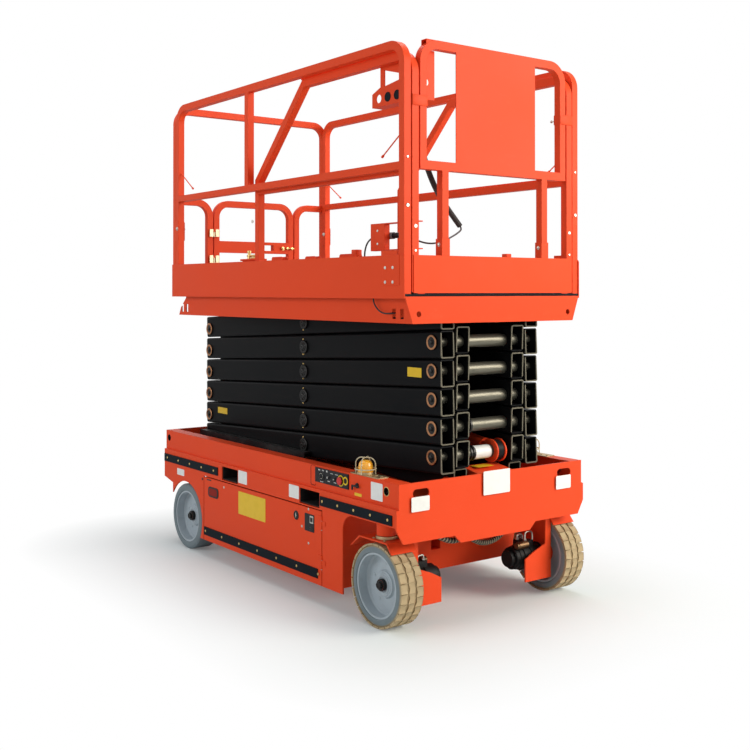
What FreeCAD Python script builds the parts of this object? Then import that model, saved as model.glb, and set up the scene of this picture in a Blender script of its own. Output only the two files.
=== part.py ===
import FreeCAD, Part
import math
import os
import Sketcher
from FreeCAD import Placement, Rotation, Vector

# Self-propelled scissor lift, parked with its stack folded.
# X runs forward to the steered end, Y to the machine's left, Z up from the floor.
# The origin is on the floor under the middle of the whole machine.

os.makedirs("parts", exist_ok=True)
doc = FreeCAD.newDocument("scissor_lift")
sheet = doc.addObject("Spreadsheet::Sheet", "Sizes")

# Driving sizes in millimetres: name, value, what it measures.
DRIVING_SIZES = [
    ("front_axle_x", 981, "front wheel centres"),
    ("rear_axle_x", -887, "rear wheel centres"),
    ("wheel_dia", 381, "tyre diameter"),
    ("tyre_width", 127, "tyre width"),
    ("track_half", 583, "outer faces of the tyres from the middle"),
    ("tyre_wall", 42, "rubber from tread to rim"),
    ("tyre_shoulder", 9, "chamfer of the tyre's edges"),
    ("rim_barrel", 9, "rim barrel thickness"),
    ("rim_inset", 5, "rim edge inside the tyre's face"),
    ("dish_depth", 56, "wheel disc behind the rim's edge"),
    ("dish_wall", 14, "wheel disc thickness"),
    ("hub_radius", 50, "raised hub round the spindle"),
    ("hub_rise", 16, "hub standing out of the disc"),
    ("spindle_radius", 22, "wheel spindle"),
    ("spindle_nut", 18, "spindle nut beyond the hub"),
    ("nut_radius", 26, "spindle nut radius"),
    ("running_fit", 0.05, "radial play of a turning fit"),
    ("seat_gap", 0.3, "play between round seats"),
    ("side_play", 6, "clearance beside a moving piece"),
    ("chassis_rear_x", -1171.5, "rear end of the chassis"),
    ("front_plate_x", 1153, "front face of the front plate"),
    ("front_plate_wall", 8, "front plate thickness"),
    ("beam_set", 12, "upper side beams inside the lower side plates"),
    ("beam_width", 70, "upper side beam width"),
    ("beam_bottom_z", 560, "underside of the upper side beams"),
    ("beam_top_z", 672, "top of the upper side beams"),
    ("side_proud", 7, "lower side plates outside the tyres' outer faces"),
    ("side_wall", 8, "lower side plate thickness"),
    ("belly_z", 97, "bottom edge of the lower side plates"),
    ("floor_top_z", 551, "well floor under the stack"),
    ("floor_wall", 6, "well floor thickness"),
    ("front_floor_drop", 25, "front well floor below the main one"),
    ("front_floor_x", 940, "where the well floor steps down"),
    ("spine_half", 225, "half width of the central belly box"),
    ("spine_bottom_z", 150, "bottom of the central belly box"),
    ("spine_rear_x", -837, "rear end of the central belly box"),
    ("bulkhead_x", 700, "front bulkhead of the belly"),
    ("bulkhead_bottom_z", 117, "bottom edge of the bulkhead"),
    ("square_hole", 60, "square hole in the bulkhead"),
    ("square_hole_z", 250, "middle of the square hole"),
    ("axle_radius", 40, "rear axle tube"),
    ("axle_web", 120, "rear axle web length"),
    ("axle_web_y", 250, "rear axle webs from the middle"),
    ("arch_radius", 207, "rear wheel arch"),
    ("rear_lip_z", 392, "bottom of the rear corner"),
    ("rear_lip_drop", 25, "fall of the rear corner's edge"),
    ("arch_flat", 170, "wheel arch edge behind the rear axle"),
    ("arch_top_z", 477, "underside over the steered wheels"),
    ("fixed_panel_x", 560, "rear edge of the fixed side panel"),
    ("fixed_panel_end_x", 732, "front edge of the fixed side panel"),
    ("panel_curve", 75, "curve from the fixed panel to the arch"),
    ("door_rear_x", -655, "rear edge of the tray door"),
    ("door_front_x", 554, "front edge of the tray door"),
    ("door_top_z", 457, "top edge of the tray door"),
    ("tray_depth", 330, "tray box from the door inwards"),
    ("tray_inset", 60, "tray box inside the door's rear edge"),
    ("tray_floor_z", 118, "underside of the tray box"),
    ("tray_top_z", 420, "top of what the tray carries"),
    ("tray_end_height", 160, "end walls of the tray"),
    ("tray_hinge_x", 557, "tray hinge axis"),
    ("tray_hinge_proud", 1, "tray hinge axis outside the side plate"),
    ("tray_hinge_z", 200, "underside of the lower tray hinge"),
    ("tray_hinge_pitch", 190, "from one tray hinge to the next"),
    ("tray_knuckle", 5, "tray hinge knuckle"),
    ("tray_pin", 2.5, "tray hinge pin radius"),
    ("knuckle_play", 1, "clearance round the tray's hinge knuckles"),
    ("strip_height", 46, "rubber strip height"),
    ("strip_z", 485, "underside of the upper rubber strips"),
    ("door_strip_z", 128, "underside of the door's rubber strip"),
    ("rear_strip_end_x", -488, "front end of the rear strip"),
    ("front_strip_x", 545, "rear end of the front strip"),
    ("front_strip_end_x", 1115, "front end of the front strip"),
    ("strip_proud", 5, "rubber strip standing out"),
    ("pocket_bottom_z", 469, "fork pocket floor"),
    ("pocket_width", 180, "rear fork pocket width"),
    ("pocket_rear_x", -445, "rear edge of the rear fork pocket"),
    ("pocket_front_x", 356, "rear edge of the front fork pocket"),
    ("pocket_wall", 5, "fork pocket wall"),
    ("tie_hole_radius", 20, "tie-down holes in the side beams"),
    ("tie_hole_z", 628, "height of the tie-down holes"),
    ("tie_front_x", 1056, "front tie-down holes"),
    ("tie_rear_x", -1132, "rear tie-down holes"),
    ("tie_access", 32, "radius of the access behind a tie-down hole"),
    ("ear_proud", 7, "front plate's ears outside the side plates"),
    ("ear_step", 5, "step out to the front plate's ears"),
    ("foot_set", 32, "front plate's bottom corners inside the side plates"),
    ("front_foot_z", 405, "front plate's outer bottom edge"),
    ("front_tongue_half", 222, "front plate's lower middle part"),
    ("front_tongue_z", 368, "front plate's lowest edge"),
    ("hand_slot_set", 121, "hand slots inside the beams' outer faces"),
    ("hand_slot_length", 96, "hand slot length"),
    ("hand_slot_height", 38, "hand slot height"),
    ("hand_slot_z", 623, "height of the hand slots"),
    ("foot_slot_z", 480, "lower foot slot in the rear plate"),
    ("foot_slot_pitch", 110, "from one foot slot to the next"),
    ("foot_slot_length", 380, "foot slot length"),
    ("foot_slot_height", 56, "foot slot height"),
    ("toe_room_depth", 130, "room behind the lower foot slot"),
    ("toe_room_play", 10, "that room beyond the slot's edges"),
    ("cover_half", 110, "half width of the hump behind the front plate"),
    ("cover_rear_x", 1000, "rear of the hump"),
    ("cover_top_z", 692, "top of the hump"),
    ("cover_slope", 30, "slope of the hump's edges"),
    ("kingpin_set", 63, "kingpin inside the tyre's outer face"),
    ("kingpin_radius", 24, "kingpin"),
    ("kingpin_boss", 46, "kingpin housing radius"),
    ("kingpin_boss_z", 416, "underside of the kingpin housing"),
    ("fender_top_z", 398, "top of the arch plate on the knuckle"),
    ("fender_wall", 7, "arch plate thickness"),
    ("fender_front_x", 1102, "front lip of the arch plate"),
    ("fender_rear_x", 782, "rear lip of the arch plate"),
    ("fender_rear_z", 339, "rear lip of the arch plate"),
    ("fender_front_z", 352, "front lip of the arch plate"),
    ("fender_rear_run", 73, "length of the rear slope"),
    ("fender_front_run", 38, "length of the front slope"),
    ("knuckle_web_rear", 110, "knuckle web behind the kingpin"),
    ("guard_front_x", 1073, "front face of the wheel guard"),
    ("guard_inner_y", 271, "inner edge of the wheel guard"),
    ("guard_bottom_z", 88, "bottom edge of the wheel guard"),
    ("guard_low_height", 112, "full-width part of the guard"),
    ("guard_step", 120, "rise of the guard's curved step"),
    ("motor_radius", 58, "drive motor"),
    ("motor_inner_y", 232, "inner end of the drive motor"),
    ("motor_end", 70, "narrow end of the drive motor"),
    ("motor_end_radius", 40, "radius of that end"),
    ("pivot_front_x", 1054, "front pins of the stack"),
    ("pivot_rear_x", -1115, "rear pins of the stack"),
    ("pivot_base_z", 622, "lowest pins of the stack"),
    ("stage_rise", 133, "height from one pin row to the next"),
    ("arm_height", 127, "arm tube height"),
    ("arm_width", 80, "arm tube width"),
    ("arm_wall", 6, "arm tube wall"),
    ("arm_corner", 11, "rounded corners of the arm tubes"),
    ("inner_arm_y", 135, "inner faces of the inner arms"),
    ("outer_arm_y", 229, "inner faces of the outer arms"),
    ("pin_offset", 12, "pins above or below the tube's middle"),
    ("front_overhang", 60, "tube beyond its front pin"),
    ("base_overhang", 40, "lowest tube beyond its front pin"),
    ("rear_overhang", 38, "tube beyond its rear pin"),
    ("pin_radius", 22, "scissor pins"),
    ("sleeve_radius", 31, "cross tubes and pin sleeves"),
    ("ring_radius", 35, "rings on the outer faces"),
    ("ring_wall", 6, "ring thickness"),
    ("pin_reach", 24, "pin inside the inner arms"),
    ("lug_wall", 12, "pivot lug thickness"),
    ("lug_gap", 2, "play beside a pivot lug"),
    ("roller_radius", 30, "stack rollers"),
    ("roller_width", 30, "roller width"),
    ("roller_play", 0.5, "roller play in its track"),
    ("top_lug_y", 180, "inner faces of the platform's pivot lugs"),
    ("track_wall", 8, "track wall"),
    ("track_reach_x", 40, "front end of the slider tracks"),
    ("cylinder_y", 80, "lift cylinder from the middle"),
    ("barrel_radius", 44, "lift cylinder barrel"),
    ("foot_width", 53, "width of the barrel's foot between its rings"),
    ("foot_half_height", 35, "half height of the barrel's foot"),
    ("barrel_start", 66, "barrel tube begins beyond its foot"),
    ("barrel_length", 1900, "barrel from its foot to its gland"),
    ("rod_radius", 30, "piston rod"),
    ("eye_radius", 40, "rod eye"),
    ("eye_back", 120, "rod pin in front of the cross tube"),
    ("eye_width", 40, "rod eye width"),
    ("base_ring_radius", 56, "rings beside the barrel's foot"),
    ("base_ring_wall", 8, "thickness of those rings"),
    ("platform_rear_x", -1133, "rear end of the platform"),
    ("platform_front_x", 1162, "front end of the platform"),
    ("platform_half", 560, "outer faces of the platform sides"),
    ("deck_z", 1506, "underside of the main deck"),
    ("deck_wall", 5, "deck thickness"),
    ("toe_bottom_z", 1490, "bottom edge of the toe boards"),
    ("toe_top_z", 1685, "top edge of the toe boards"),
    ("toe_wall", 4, "toe board thickness"),
    ("toe_corner", 20, "rounded corner of the toe boards"),
    ("skirt_half", 512, "outer faces of the platform skirts"),
    ("skirt_wall", 6, "platform skirt thickness"),
    ("skirt_bottom_z", 1378, "bottom edge of the skirts"),
    ("skirt_rear_x", -1134, "rear tip of the side skirts"),
    ("skirt_slant", 93, "slant at the skirts' rear"),
    ("skirt_lip", 22, "upright edge at the skirts' rear"),
    ("slot_rear_x", -1085, "rearmost skirt slot"),
    ("slot_front_x", 1026, "first of the front skirt slots"),
    ("slot_pitch", 58, "from one skirt slot to the next"),
    ("slot_width", 26, "skirt slot width"),
    ("slot_height", 46, "skirt slot height"),
    ("slot_z", 1421, "middle of the skirt slots"),
    ("skirt_hole_y", 477, "holes in the front skirt"),
    ("cross_bar_x", -600, "second cross bar under the deck"),
    ("cross_bar_pitch", 600, "from one cross bar to the next"),
    ("cross_bar_width", 60, "cross bar width"),
    ("cross_bar_depth", 14, "cross bar depth"),
    ("skirt_front_z", 1500, "top edge of the front skirt"),
    ("rail_tube", 38, "guard rail tube width"),
    ("rail_top_z", 2648, "top of the side rails"),
    ("rail_height", 40, "guard rail tube height"),
    ("rail_bend", 105, "outside bend of the guard rails"),
    ("mid_rail_z", 2101, "top of the middle rail"),
    ("mid_rail_height", 36, "middle rail height"),
    ("side_post_x", -255, "rear face of the side's middle post"),
    ("extension_half", 512, "outer faces of the extension's sides"),
    ("extension_rail_z", 2606, "top of the extension's side rails"),
    ("extension_post_x", -215, "rear face of the extension's rear post"),
    ("extension_deck_z", 1519, "underside of the extension deck"),
    ("extension_rear_x", -260, "rear end of the extension deck"),
    ("extension_mid_z", 2086, "top of the extension's middle rails"),
    ("brace_start_z", 2130, "where the extension's brace leaves its post"),
    ("runner_y", 440, "extension runners from the middle"),
    ("front_toe_half", 505, "half width of the front toe board"),
    ("front_toe_z", 1515, "bottom edge of the front toe board"),
    ("front_frame_half", 466, "outer faces of the front rail frame"),
    ("front_frame_z", 2658, "top of the front rail frame"),
    ("front_frame_bottom_z", 2071, "bottom of the front rail frame"),
    ("front_panel_half", 254, "half width of the front panel"),
    ("panel_wall", 4, "front panel thickness"),
    ("front_post_y", 318, "front posts from the middle"),
    ("gate_half", 292, "half width of the gate"),
    ("gate_gap", 8, "clearance at each side of the gate"),
    ("gate_hinge_x", -1088, "gate hinge axis"),
    ("gate_hinge_y", -297, "gate hinge axis from the middle"),
    ("gate_hinge_z", 1700, "underside of the lower gate hinge"),
    ("gate_hinge_pitch", 162, "from one gate hinge to the next"),
    ("hinge_height", 46, "hinge height"),
    ("hinge_leaf", 32, "hinge leaf width"),
    ("hinge_wall", 3, "hinge leaf thickness"),
    ("hinge_radius", 7, "gate hinge knuckle"),
    ("hinge_pin", 4, "gate hinge pin radius"),
    ("loop_top_z", 2092, "top of the gate and loops"),
    ("gate_bar_z", 1765, "bottom of the gate's flat bar"),
    ("gate_bar_height", 73, "gate's flat bar height"),
    ("gate_bottom_z", 1540, "bottom of the gate"),
    ("gate_slot_y", 50, "hand hole in the gate's bar"),
    ("gate_slot_length", 90, "hand hole length"),
    ("beacon_x", 840, "beacons"),
    ("beacon_set", 43, "beacons inside the beams' outer faces"),
    ("beacon_radius", 37, "beacon dome"),
    ("beacon_foot", 14, "beacon foot height"),
    ("ground_panel_x", 488, "rear edge of the ground control panel"),
    ("ground_panel_length", 279, "ground control panel length"),
    ("ground_panel_z", 594, "underside of the ground control panel"),
    ("ground_panel_height", 70, "ground control panel height"),
    ("ground_panel_depth", 6, "ground control panel standing out"),
    ("bracket_rear_x", 809, "rear edge of the control bracket"),
    ("bracket_z", 2386, "underside of the control bracket"),
    ("bracket_foot", 64, "holed strip of the control bracket"),
    ("bracket_wall", 5, "control bracket thickness"),
    ("bracket_step", 90, "top of the holed strip's slope above the underside"),
    ("bracket_window_x", 905, "rear edge of the bracket's window"),
    ("bracket_window_drop", 16, "window's upper corner below the rail"),
    ("bracket_window_rise", 115, "window's front corner above the underside"),
    ("bracket_hole_x", 860, "first hole in the bracket"),
    ("bracket_hole_pitch", 70, "from one bracket hole to the next"),
    ("bracket_hole_rise", 38, "bracket holes above the underside"),
    ("bracket_hole", 20, "holes in the control bracket"),
    ("control_box_x", 797, "rear face of the control box"),
    ("control_box_length", 108, "control box length"),
    ("control_box_depth", 30, "control box depth"),
    ("control_box_z", 1712, "underside of the control box"),
    ("control_box_height", 128, "control box height"),
    ("control_strap_width", 30, "straps that hold the control box"),
    ("control_strap_end_x", 1150, "front ends of the control box straps"),
    ("plug_y", 429, "connector from the middle"),
    ("plug_z", 1783, "middle of the connector"),
    ("plug_radius", 15, "connector body radius"),
    ("plug_cap_radius", 12, "radius of the connector's caps"),
    ("plug_front_x", 962, "front end of the connector's cap"),
    ("plug_cap", 42, "length of the connector's front cap"),
    ("hose_diameter", 26, "sleeve and hydraulic hose diameter"),
    ("cable_diameter", 8, "control cable diameter"),
    ("loop_diameter", 7, "wiring loop diameter"),
]

START_VALUE = {}
for row, (alias, value, note) in enumerate(DRIVING_SIZES, start=1):
    sheet.set(f"A{row}", alias)
    sheet.set(f"B{row}", str(value))
    sheet.set(f"C{row}", note)
    sheet.setAlias(f"B{row}", alias)
    START_VALUE[alias] = float(value)
doc.recompute()


class Size:
    """A length with the sheet formula that it comes from."""

    def __init__(self, value, formula):
        self.value = value
        self.formula = formula

    def combine(self, other, sign, value):
        right = size_of(other).formula
        return Size(value, f"({self.formula} {sign} {right})")

    def __add__(self, other):
        return self.combine(other, "+", self.value + size_of(other).value)

    def __sub__(self, other):
        return self.combine(other, "-", self.value - size_of(other).value)

    def __mul__(self, other):
        return self.combine(other, "*", self.value * size_of(other).value)

    def __truediv__(self, other):
        return self.combine(other, "/", self.value / size_of(other).value)

    def __radd__(self, other):
        return size_of(other) + self

    def __rsub__(self, other):
        return size_of(other) - self

    def __rmul__(self, other):
        return size_of(other) * self

    def __neg__(self):
        return size_of(0) - self

    def __float__(self):
        return self.value


def size_of(number):
    return number if isinstance(number, Size) else Size(float(number), repr(number))


def root(square):
    return Size(math.sqrt(square.value), f"sqrt({square.formula})")


def angle_of(rise, run):
    """Angle in degrees of a slope."""
    return Size(math.degrees(math.atan2(float(rise), float(run))), f"atan2({rise.formula}; {run.formula})")


def sine(angle):
    return Size(math.sin(math.radians(angle.value)), f"sin({angle.formula})")


def cosine(angle):
    return Size(math.cos(math.radians(angle.value)), f"cos({angle.formula})")


class SheetSizes:
    """Each driving size by its name."""

    def __getattr__(self, alias):
        return Size(START_VALUE[alias], f"Sizes.{alias}")


s = SheetSizes()

# Widths that follow from the track.
side_half = s.track_half + s.side_proud
beam_half = side_half - s.beam_set
kingpin_y = s.track_half - s.kingpin_set
front_ear_half = side_half + s.ear_proud
front_foot_half = side_half - s.foot_set
hand_slot_y = beam_half - s.hand_slot_set
tray_hinge_y = side_half + s.tray_hinge_proud
beacon_y = beam_half - s.beacon_set


def bind(thing, path, size):
    thing.setExpression(path, size_of(size).formula)


def place(thing, x, y, z, rotation=None):
    thing.Placement = Placement(Vector(float(x), float(y), float(z)), rotation or Rotation())
    bind(thing, "Placement.Base.x", x)
    bind(thing, "Placement.Base.y", y)
    bind(thing, "Placement.Base.z", z)


def box(x0, x1, y0, y1, z0, z1):
    """Block from its low corner to its high corner."""
    block = doc.addObject("Part::Box", "Block")
    bind(block, "Length", size_of(x1) - x0)
    bind(block, "Width", size_of(y1) - y0)
    bind(block, "Height", size_of(z1) - z0)
    place(block, x0, y0, z0)
    return block


ALONG = {
    "x": Rotation(Vector(0, 1, 0), 90),
    "y": Rotation(Vector(1, 0, 0), -90),
    "z": Rotation(),
}


def rod(axis, radius, start, end, across, up):
    """Round bar along an axis; across and up are its other two coordinates in XYZ order."""
    bar = doc.addObject("Part::Cylinder", "Bar")
    bind(bar, "Radius", radius)
    bind(bar, "Height", size_of(end) - start)
    corner = {"x": (start, across, up), "y": (across, start, up), "z": (across, up, start)}[axis]
    place(bar, *corner, ALONG[axis])
    return bar


def fuse(*solids):
    joined = doc.addObject("Part::MultiFuse", "Joined")
    joined.Shapes = list(solids)
    joined.Refine = True
    return joined


def cut(base, *tools):
    tool = tools[0] if len(tools) == 1 else fuse(*tools)
    rest = doc.addObject("Part::Cut", "Rest")
    rest.Base = base
    rest.Tool = tool
    rest.Refine = True
    return rest


def mirror(solid):
    """The same piece on the machine's other side."""
    other = doc.addObject("Part::Mirroring", "Mirrored")
    other.Source = solid
    other.Normal = Vector(0, 1, 0)
    return other


def both(solid):
    return [solid, mirror(solid)]


def rounded(solid, axis, radius, picks):
    """Round the edges along an axis whose middle satisfies picks."""
    doc.recompute()
    direction = {"x": Vector(1, 0, 0), "y": Vector(0, 1, 0), "z": Vector(0, 0, 1)}[axis]
    chosen = []
    for index, edge in enumerate(solid.Shape.Edges, start=1):
        if edge.Curve.TypeId != "Part::GeomLine":
            continue
        if abs(edge.Curve.Direction.dot(direction)) > 0.999 and picks(edge.CenterOfMass):
            chosen.append((index, float(radius), float(radius)))
    softened = doc.addObject("Part::Fillet", "Rounded")
    softened.Base = solid
    softened.Edges = chosen
    return softened


PLANES = {"xy": "XY_Plane", "xz": "XZ_Plane", "yz": "YZ_Plane"}


def sketch_on(body, plane, points):
    """Closed outline on an origin plane, each corner tied to its sizes."""
    sketch = body.newObject("Sketcher::SketchObject", "Outline")
    role = PLANES[plane]
    origin = [item for item in body.Origin.OriginFeatures if item.Role == role][0]
    sketch.AttachmentSupport = [(origin, "")]
    sketch.MapMode = "FlatFace"
    corners = [Vector(float(across), float(up), 0) for across, up in points]
    count = len(corners)
    for index in range(count):
        sketch.addGeometry(Part.LineSegment(corners[index], corners[(index + 1) % count]))
    for index in range(count):
        sketch.addConstraint(Sketcher.Constraint("Coincident", index, 2, (index + 1) % count, 1))
    for index, (across, up) in enumerate(points):
        for kind, size in (("DistanceX", across), ("DistanceY", up)):
            number = sketch.addConstraint(Sketcher.Constraint(kind, -1, 1, index, 1, float(size)))
            bind(sketch, f"Constraints[{number}]", size)
    return sketch


def padded(plane, points, start, depth):
    """Plate with an outline on a plane, from start along the plane's axis for its depth."""
    body = doc.addObject("PartDesign::Body", "Plate")
    sketch = sketch_on(body, plane, points)
    offset = -(size_of(start) + depth) if plane == "xz" else size_of(start)
    sketch.AttachmentOffset = Placement(Vector(0, 0, float(offset)), Rotation())
    bind(sketch, "AttachmentOffset.Base.z", offset)
    pad = body.newObject("PartDesign::Pad", "Pad")
    pad.Profile = sketch
    bind(pad, "Length", depth)
    body.Tip = pad
    return body


def turned(points, x, z):
    """Piece turned about an axis along Y through x and z; points are (y, radius)."""
    body = doc.addObject("PartDesign::Body", "Turning")
    sketch = sketch_on(body, "yz", points)
    spin = body.newObject("PartDesign::Revolution", "Revolution")
    spin.Profile = sketch
    spin.ReferenceAxis = (sketch, ["H_Axis"])
    spin.Angle = 360
    body.Tip = spin
    place(body, x, 0, z)
    return body


def slot(axis, start, depth, across, up, length, height):
    """Round-ended bar that cuts a slot; its length lies across."""
    half = (size_of(length) - height) / 2
    radius = size_of(height) / 2
    end = size_of(start) + depth
    if axis == "x":
        middle = box(start, end, across - half, across + half, up - radius, up + radius)
    else:
        middle = box(across - half, across + half, start, end, up - radius, up + radius)
    ends = [rod(axis, radius, start, end, across + side * half, up) for side in (-1, 1)]
    return fuse(middle, *ends)


SUB_PARTS = []


def keep(label, *solids):
    """Name a finished sub-part; several solids share it without touching."""
    if len(solids) == 1:
        piece = solids[0]
    else:
        piece = doc.addObject("Part::Compound", "Set")
        piece.Links = list(solids)
    piece.Label = label
    SUB_PARTS.append(piece)
    return piece


# Wheels: a solid tyre on a deep-dished rim that turns on a spindle.
wheel_radius = s.wheel_dia / 2
rim_radius = wheel_radius - s.tyre_wall
tyre_inner_y = s.track_half - s.tyre_width
tyre_points = [
    (tyre_inner_y, rim_radius),
    (tyre_inner_y, wheel_radius - s.tyre_shoulder),
    (tyre_inner_y + s.tyre_shoulder, wheel_radius),
    (s.track_half - s.tyre_shoulder, wheel_radius),
    (s.track_half, wheel_radius - s.tyre_shoulder),
    (s.track_half, rim_radius),
]
rim_edge_y = s.track_half - s.rim_inset
rim_back_y = tyre_inner_y + s.rim_inset
disc_face_y = rim_edge_y - s.dish_depth
disc_back_y = disc_face_y - s.dish_wall
rim_outside = rim_radius - s.seat_gap
rim_inside = rim_outside - s.rim_barrel
bore_radius = s.spindle_radius + s.running_fit
hub_face_y = disc_face_y + s.hub_rise
rim_points = [
    (rim_back_y, rim_outside),
    (rim_edge_y, rim_outside),
    (rim_edge_y, rim_inside),
    (disc_face_y + s.rim_barrel, rim_inside),
    (disc_face_y, rim_inside - s.rim_barrel),
    (disc_face_y, s.hub_radius + s.hub_rise),
    (hub_face_y, s.hub_radius),
    (hub_face_y, bore_radius),
    (disc_back_y, bore_radius),
    (disc_back_y, rim_inside),
    (rim_back_y, rim_inside),
]
for end, axle_x in (("front", s.front_axle_x), ("rear", s.rear_axle_x)):
    tyre = turned(tyre_points, axle_x, wheel_radius)
    rim = turned(rim_points, axle_x, wheel_radius)
    keep(f"tyre_{end}_left", tyre)
    keep(f"tyre_{end}_right", mirror(tyre))
    keep(f"rim_{end}_left", rim)
    keep(f"rim_{end}_right", mirror(rim))


def spindle(axle_x, inner_y):
    """Spindle through a wheel's hub, with its nut outside and its collar inside."""
    shaft = rod("y", s.spindle_radius, inner_y, hub_face_y + s.spindle_nut, axle_x, wheel_radius)
    nut_start = hub_face_y + s.lug_gap
    nut = rod("y", s.nut_radius, nut_start, nut_start + s.spindle_nut, axle_x, wheel_radius)
    collar = rod("y", s.hub_radius, inner_y, disc_back_y - s.lug_gap, axle_x, wheel_radius)
    return fuse(shaft, nut, collar)


# Chassis: belly box, well floor for the stack, bulkhead, kingpin housings, stack pivots and rear axle.
beam_inner = beam_half - s.beam_width
front_plate_back = s.front_plate_x - s.front_plate_wall
rear_plate_front = s.chassis_rear_x + s.front_plate_wall
panel_inner = side_half - s.side_wall
floor_bottom = s.floor_top_z - s.floor_wall
front_floor_top = s.floor_top_z - s.front_floor_drop
front_floor_rear = s.front_floor_x - s.floor_wall
pocket_outer_bottom = s.pocket_bottom_z - s.pocket_wall
well_floor = box(rear_plate_front, s.front_floor_x, -panel_inner, panel_inner, floor_bottom, s.floor_top_z)
riser = box(front_floor_rear, s.front_floor_x, -panel_inner, panel_inner,
            front_floor_top - s.floor_wall, s.floor_top_z)
front_floor = box(front_floor_rear, front_plate_back, -panel_inner, panel_inner,
                  front_floor_top - s.floor_wall, front_floor_top)
front_web = box(front_floor_rear, front_plate_back, beam_inner, beam_inner + s.floor_wall,
                front_floor_top, s.floor_top_z)
spine = box(s.spine_rear_x, s.bulkhead_x, -s.spine_half, s.spine_half, s.spine_bottom_z, floor_bottom)
rear_box = box(rear_plate_front, s.spine_rear_x, -s.spine_half, s.spine_half, s.rear_lip_z + s.side_wall,
               floor_bottom)
bulkhead = box(s.bulkhead_x, s.bulkhead_x + s.side_wall, -panel_inner, panel_inner, s.bulkhead_bottom_z,
               floor_bottom)
bulkhead_hole = box(s.bulkhead_x - s.square_hole, s.bulkhead_x + s.square_hole, -s.square_hole / 2,
                    s.square_hole / 2, s.square_hole_z - s.square_hole / 2, s.square_hole_z + s.square_hole / 2)
axle_end = tyre_inner_y - s.side_play
axle_tube = rod("y", s.axle_radius, -axle_end, axle_end, s.rear_axle_x, wheel_radius)
axle_web = box(s.rear_axle_x - s.axle_web / 2, s.rear_axle_x + s.axle_web / 2, s.axle_web_y - s.side_wall,
               s.axle_web_y, wheel_radius - s.axle_radius, floor_bottom)
rear_spindle = spindle(s.rear_axle_x, axle_end)
housing = rod("z", s.kingpin_boss, s.kingpin_boss_z, front_floor_top, s.front_axle_x, kingpin_y)
kingpin_hole = rod("z", s.kingpin_radius + s.running_fit, s.kingpin_boss_z - 1, s.floor_top_z,
                   s.front_axle_x, kingpin_y)

# The stack's fixed pivots: two lugs and a pin on each side of the well.
inner_lug_start = s.inner_arm_y - s.lug_gap - s.lug_wall
outer_lug_start = s.inner_arm_y + s.arm_width + s.lug_gap
pivot_lugs = []
for lug_start in (inner_lug_start, outer_lug_start):
    lug_end = lug_start + s.lug_wall - s.lug_gap
    pivot_lugs.append(box(s.pivot_front_x - s.ring_radius, s.pivot_front_x + s.ring_radius, lug_start,
                          lug_end, front_floor_top, s.pivot_base_z))
    pivot_lugs.append(rod("y", s.ring_radius, lug_start, lug_end, s.pivot_front_x, s.pivot_base_z))
base_pin = rod("y", s.pin_radius, inner_lug_start, outer_lug_start + s.lug_wall - s.lug_gap, s.pivot_front_x,
               s.pivot_base_z)
cover_points = [
    (s.cover_rear_x, front_floor_top),
    (front_plate_back, front_floor_top),
    (front_plate_back, s.beam_top_z),
    (s.cover_rear_x + s.cover_slope, s.cover_top_z),
    (s.cover_rear_x, s.cover_top_z - s.cover_slope),
]
cover = padded("xz", cover_points, -s.cover_half, s.cover_half * 2)
left_side = [front_web, axle_web, rear_spindle, housing, *pivot_lugs, base_pin]
chassis = fuse(well_floor, riser, front_floor, spine, rear_box, bulkhead, axle_tube, cover,
               *left_side, *[mirror(piece) for piece in left_side])
pocket_rooms = []
pocket_cuts = []
pockets = []
for pocket_x in (s.pocket_rear_x, s.pocket_front_x):
    pocket_end = pocket_x + s.pocket_width
    room = box(pocket_x - s.pocket_wall, pocket_end + s.pocket_wall, -panel_inner, panel_inner,
               pocket_outer_bottom, floor_bottom)
    tunnel = box(pocket_x, pocket_end, -side_half, side_half, s.pocket_bottom_z, floor_bottom)
    pocket_rooms.append(room)
    pockets.append(cut(room, tunnel))
    pocket_cuts.append(tunnel)
toe_half = s.foot_slot_length / 2 + s.toe_room_play
toe_room = box(rear_plate_front, rear_plate_front + s.toe_room_depth, -toe_half, toe_half,
               s.foot_slot_z - s.foot_slot_height / 2 - s.toe_room_play,
               s.foot_slot_z + s.foot_slot_height / 2 + s.toe_room_play)
keep("chassis_frame", cut(chassis, *pocket_rooms, *both(kingpin_hole), bulkhead_hole, toe_room))
keep("fork_pockets", *pockets)

# Upper side beams with tie-down holes, and the ledge below them.
beam = box(rear_plate_front, front_plate_back, beam_inner, beam_half, s.beam_bottom_z, s.beam_top_z)
ledge = box(rear_plate_front, front_plate_back, beam_inner, panel_inner, s.floor_top_z, s.beam_bottom_z)
tie_wall_y = beam_half - s.side_wall
tie_cuts = []
for tie_x in (s.tie_front_x, s.tie_rear_x):
    tie_cuts.append(rod("y", s.tie_access, beam_inner - 1, tie_wall_y, tie_x, s.tie_hole_z))
    tie_cuts.append(rod("y", s.tie_hole_radius, tie_wall_y - 1, beam_half + 1, tie_x, s.tie_hole_z))
head_room = rod("z", s.kingpin_radius + s.side_play, s.floor_top_z - 1, s.beam_bottom_z + s.side_play * 2,
                s.front_axle_x, kingpin_y)
keep("side_beams", *both(cut(fuse(beam, ledge), head_room, *tie_cuts)))

# Tracks for the lowest arms' rollers, open towards the stack.
track_start_y = s.outer_arm_y + s.arm_width + s.ring_wall + s.lug_gap
roller_end_y = track_start_y + s.roller_width
track_end_y = roller_end_y + s.lug_gap + s.track_wall
track_rear_x = s.pivot_rear_x - s.roller_radius - s.lug_gap
track_half_height = s.roller_radius + s.roller_play


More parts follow.
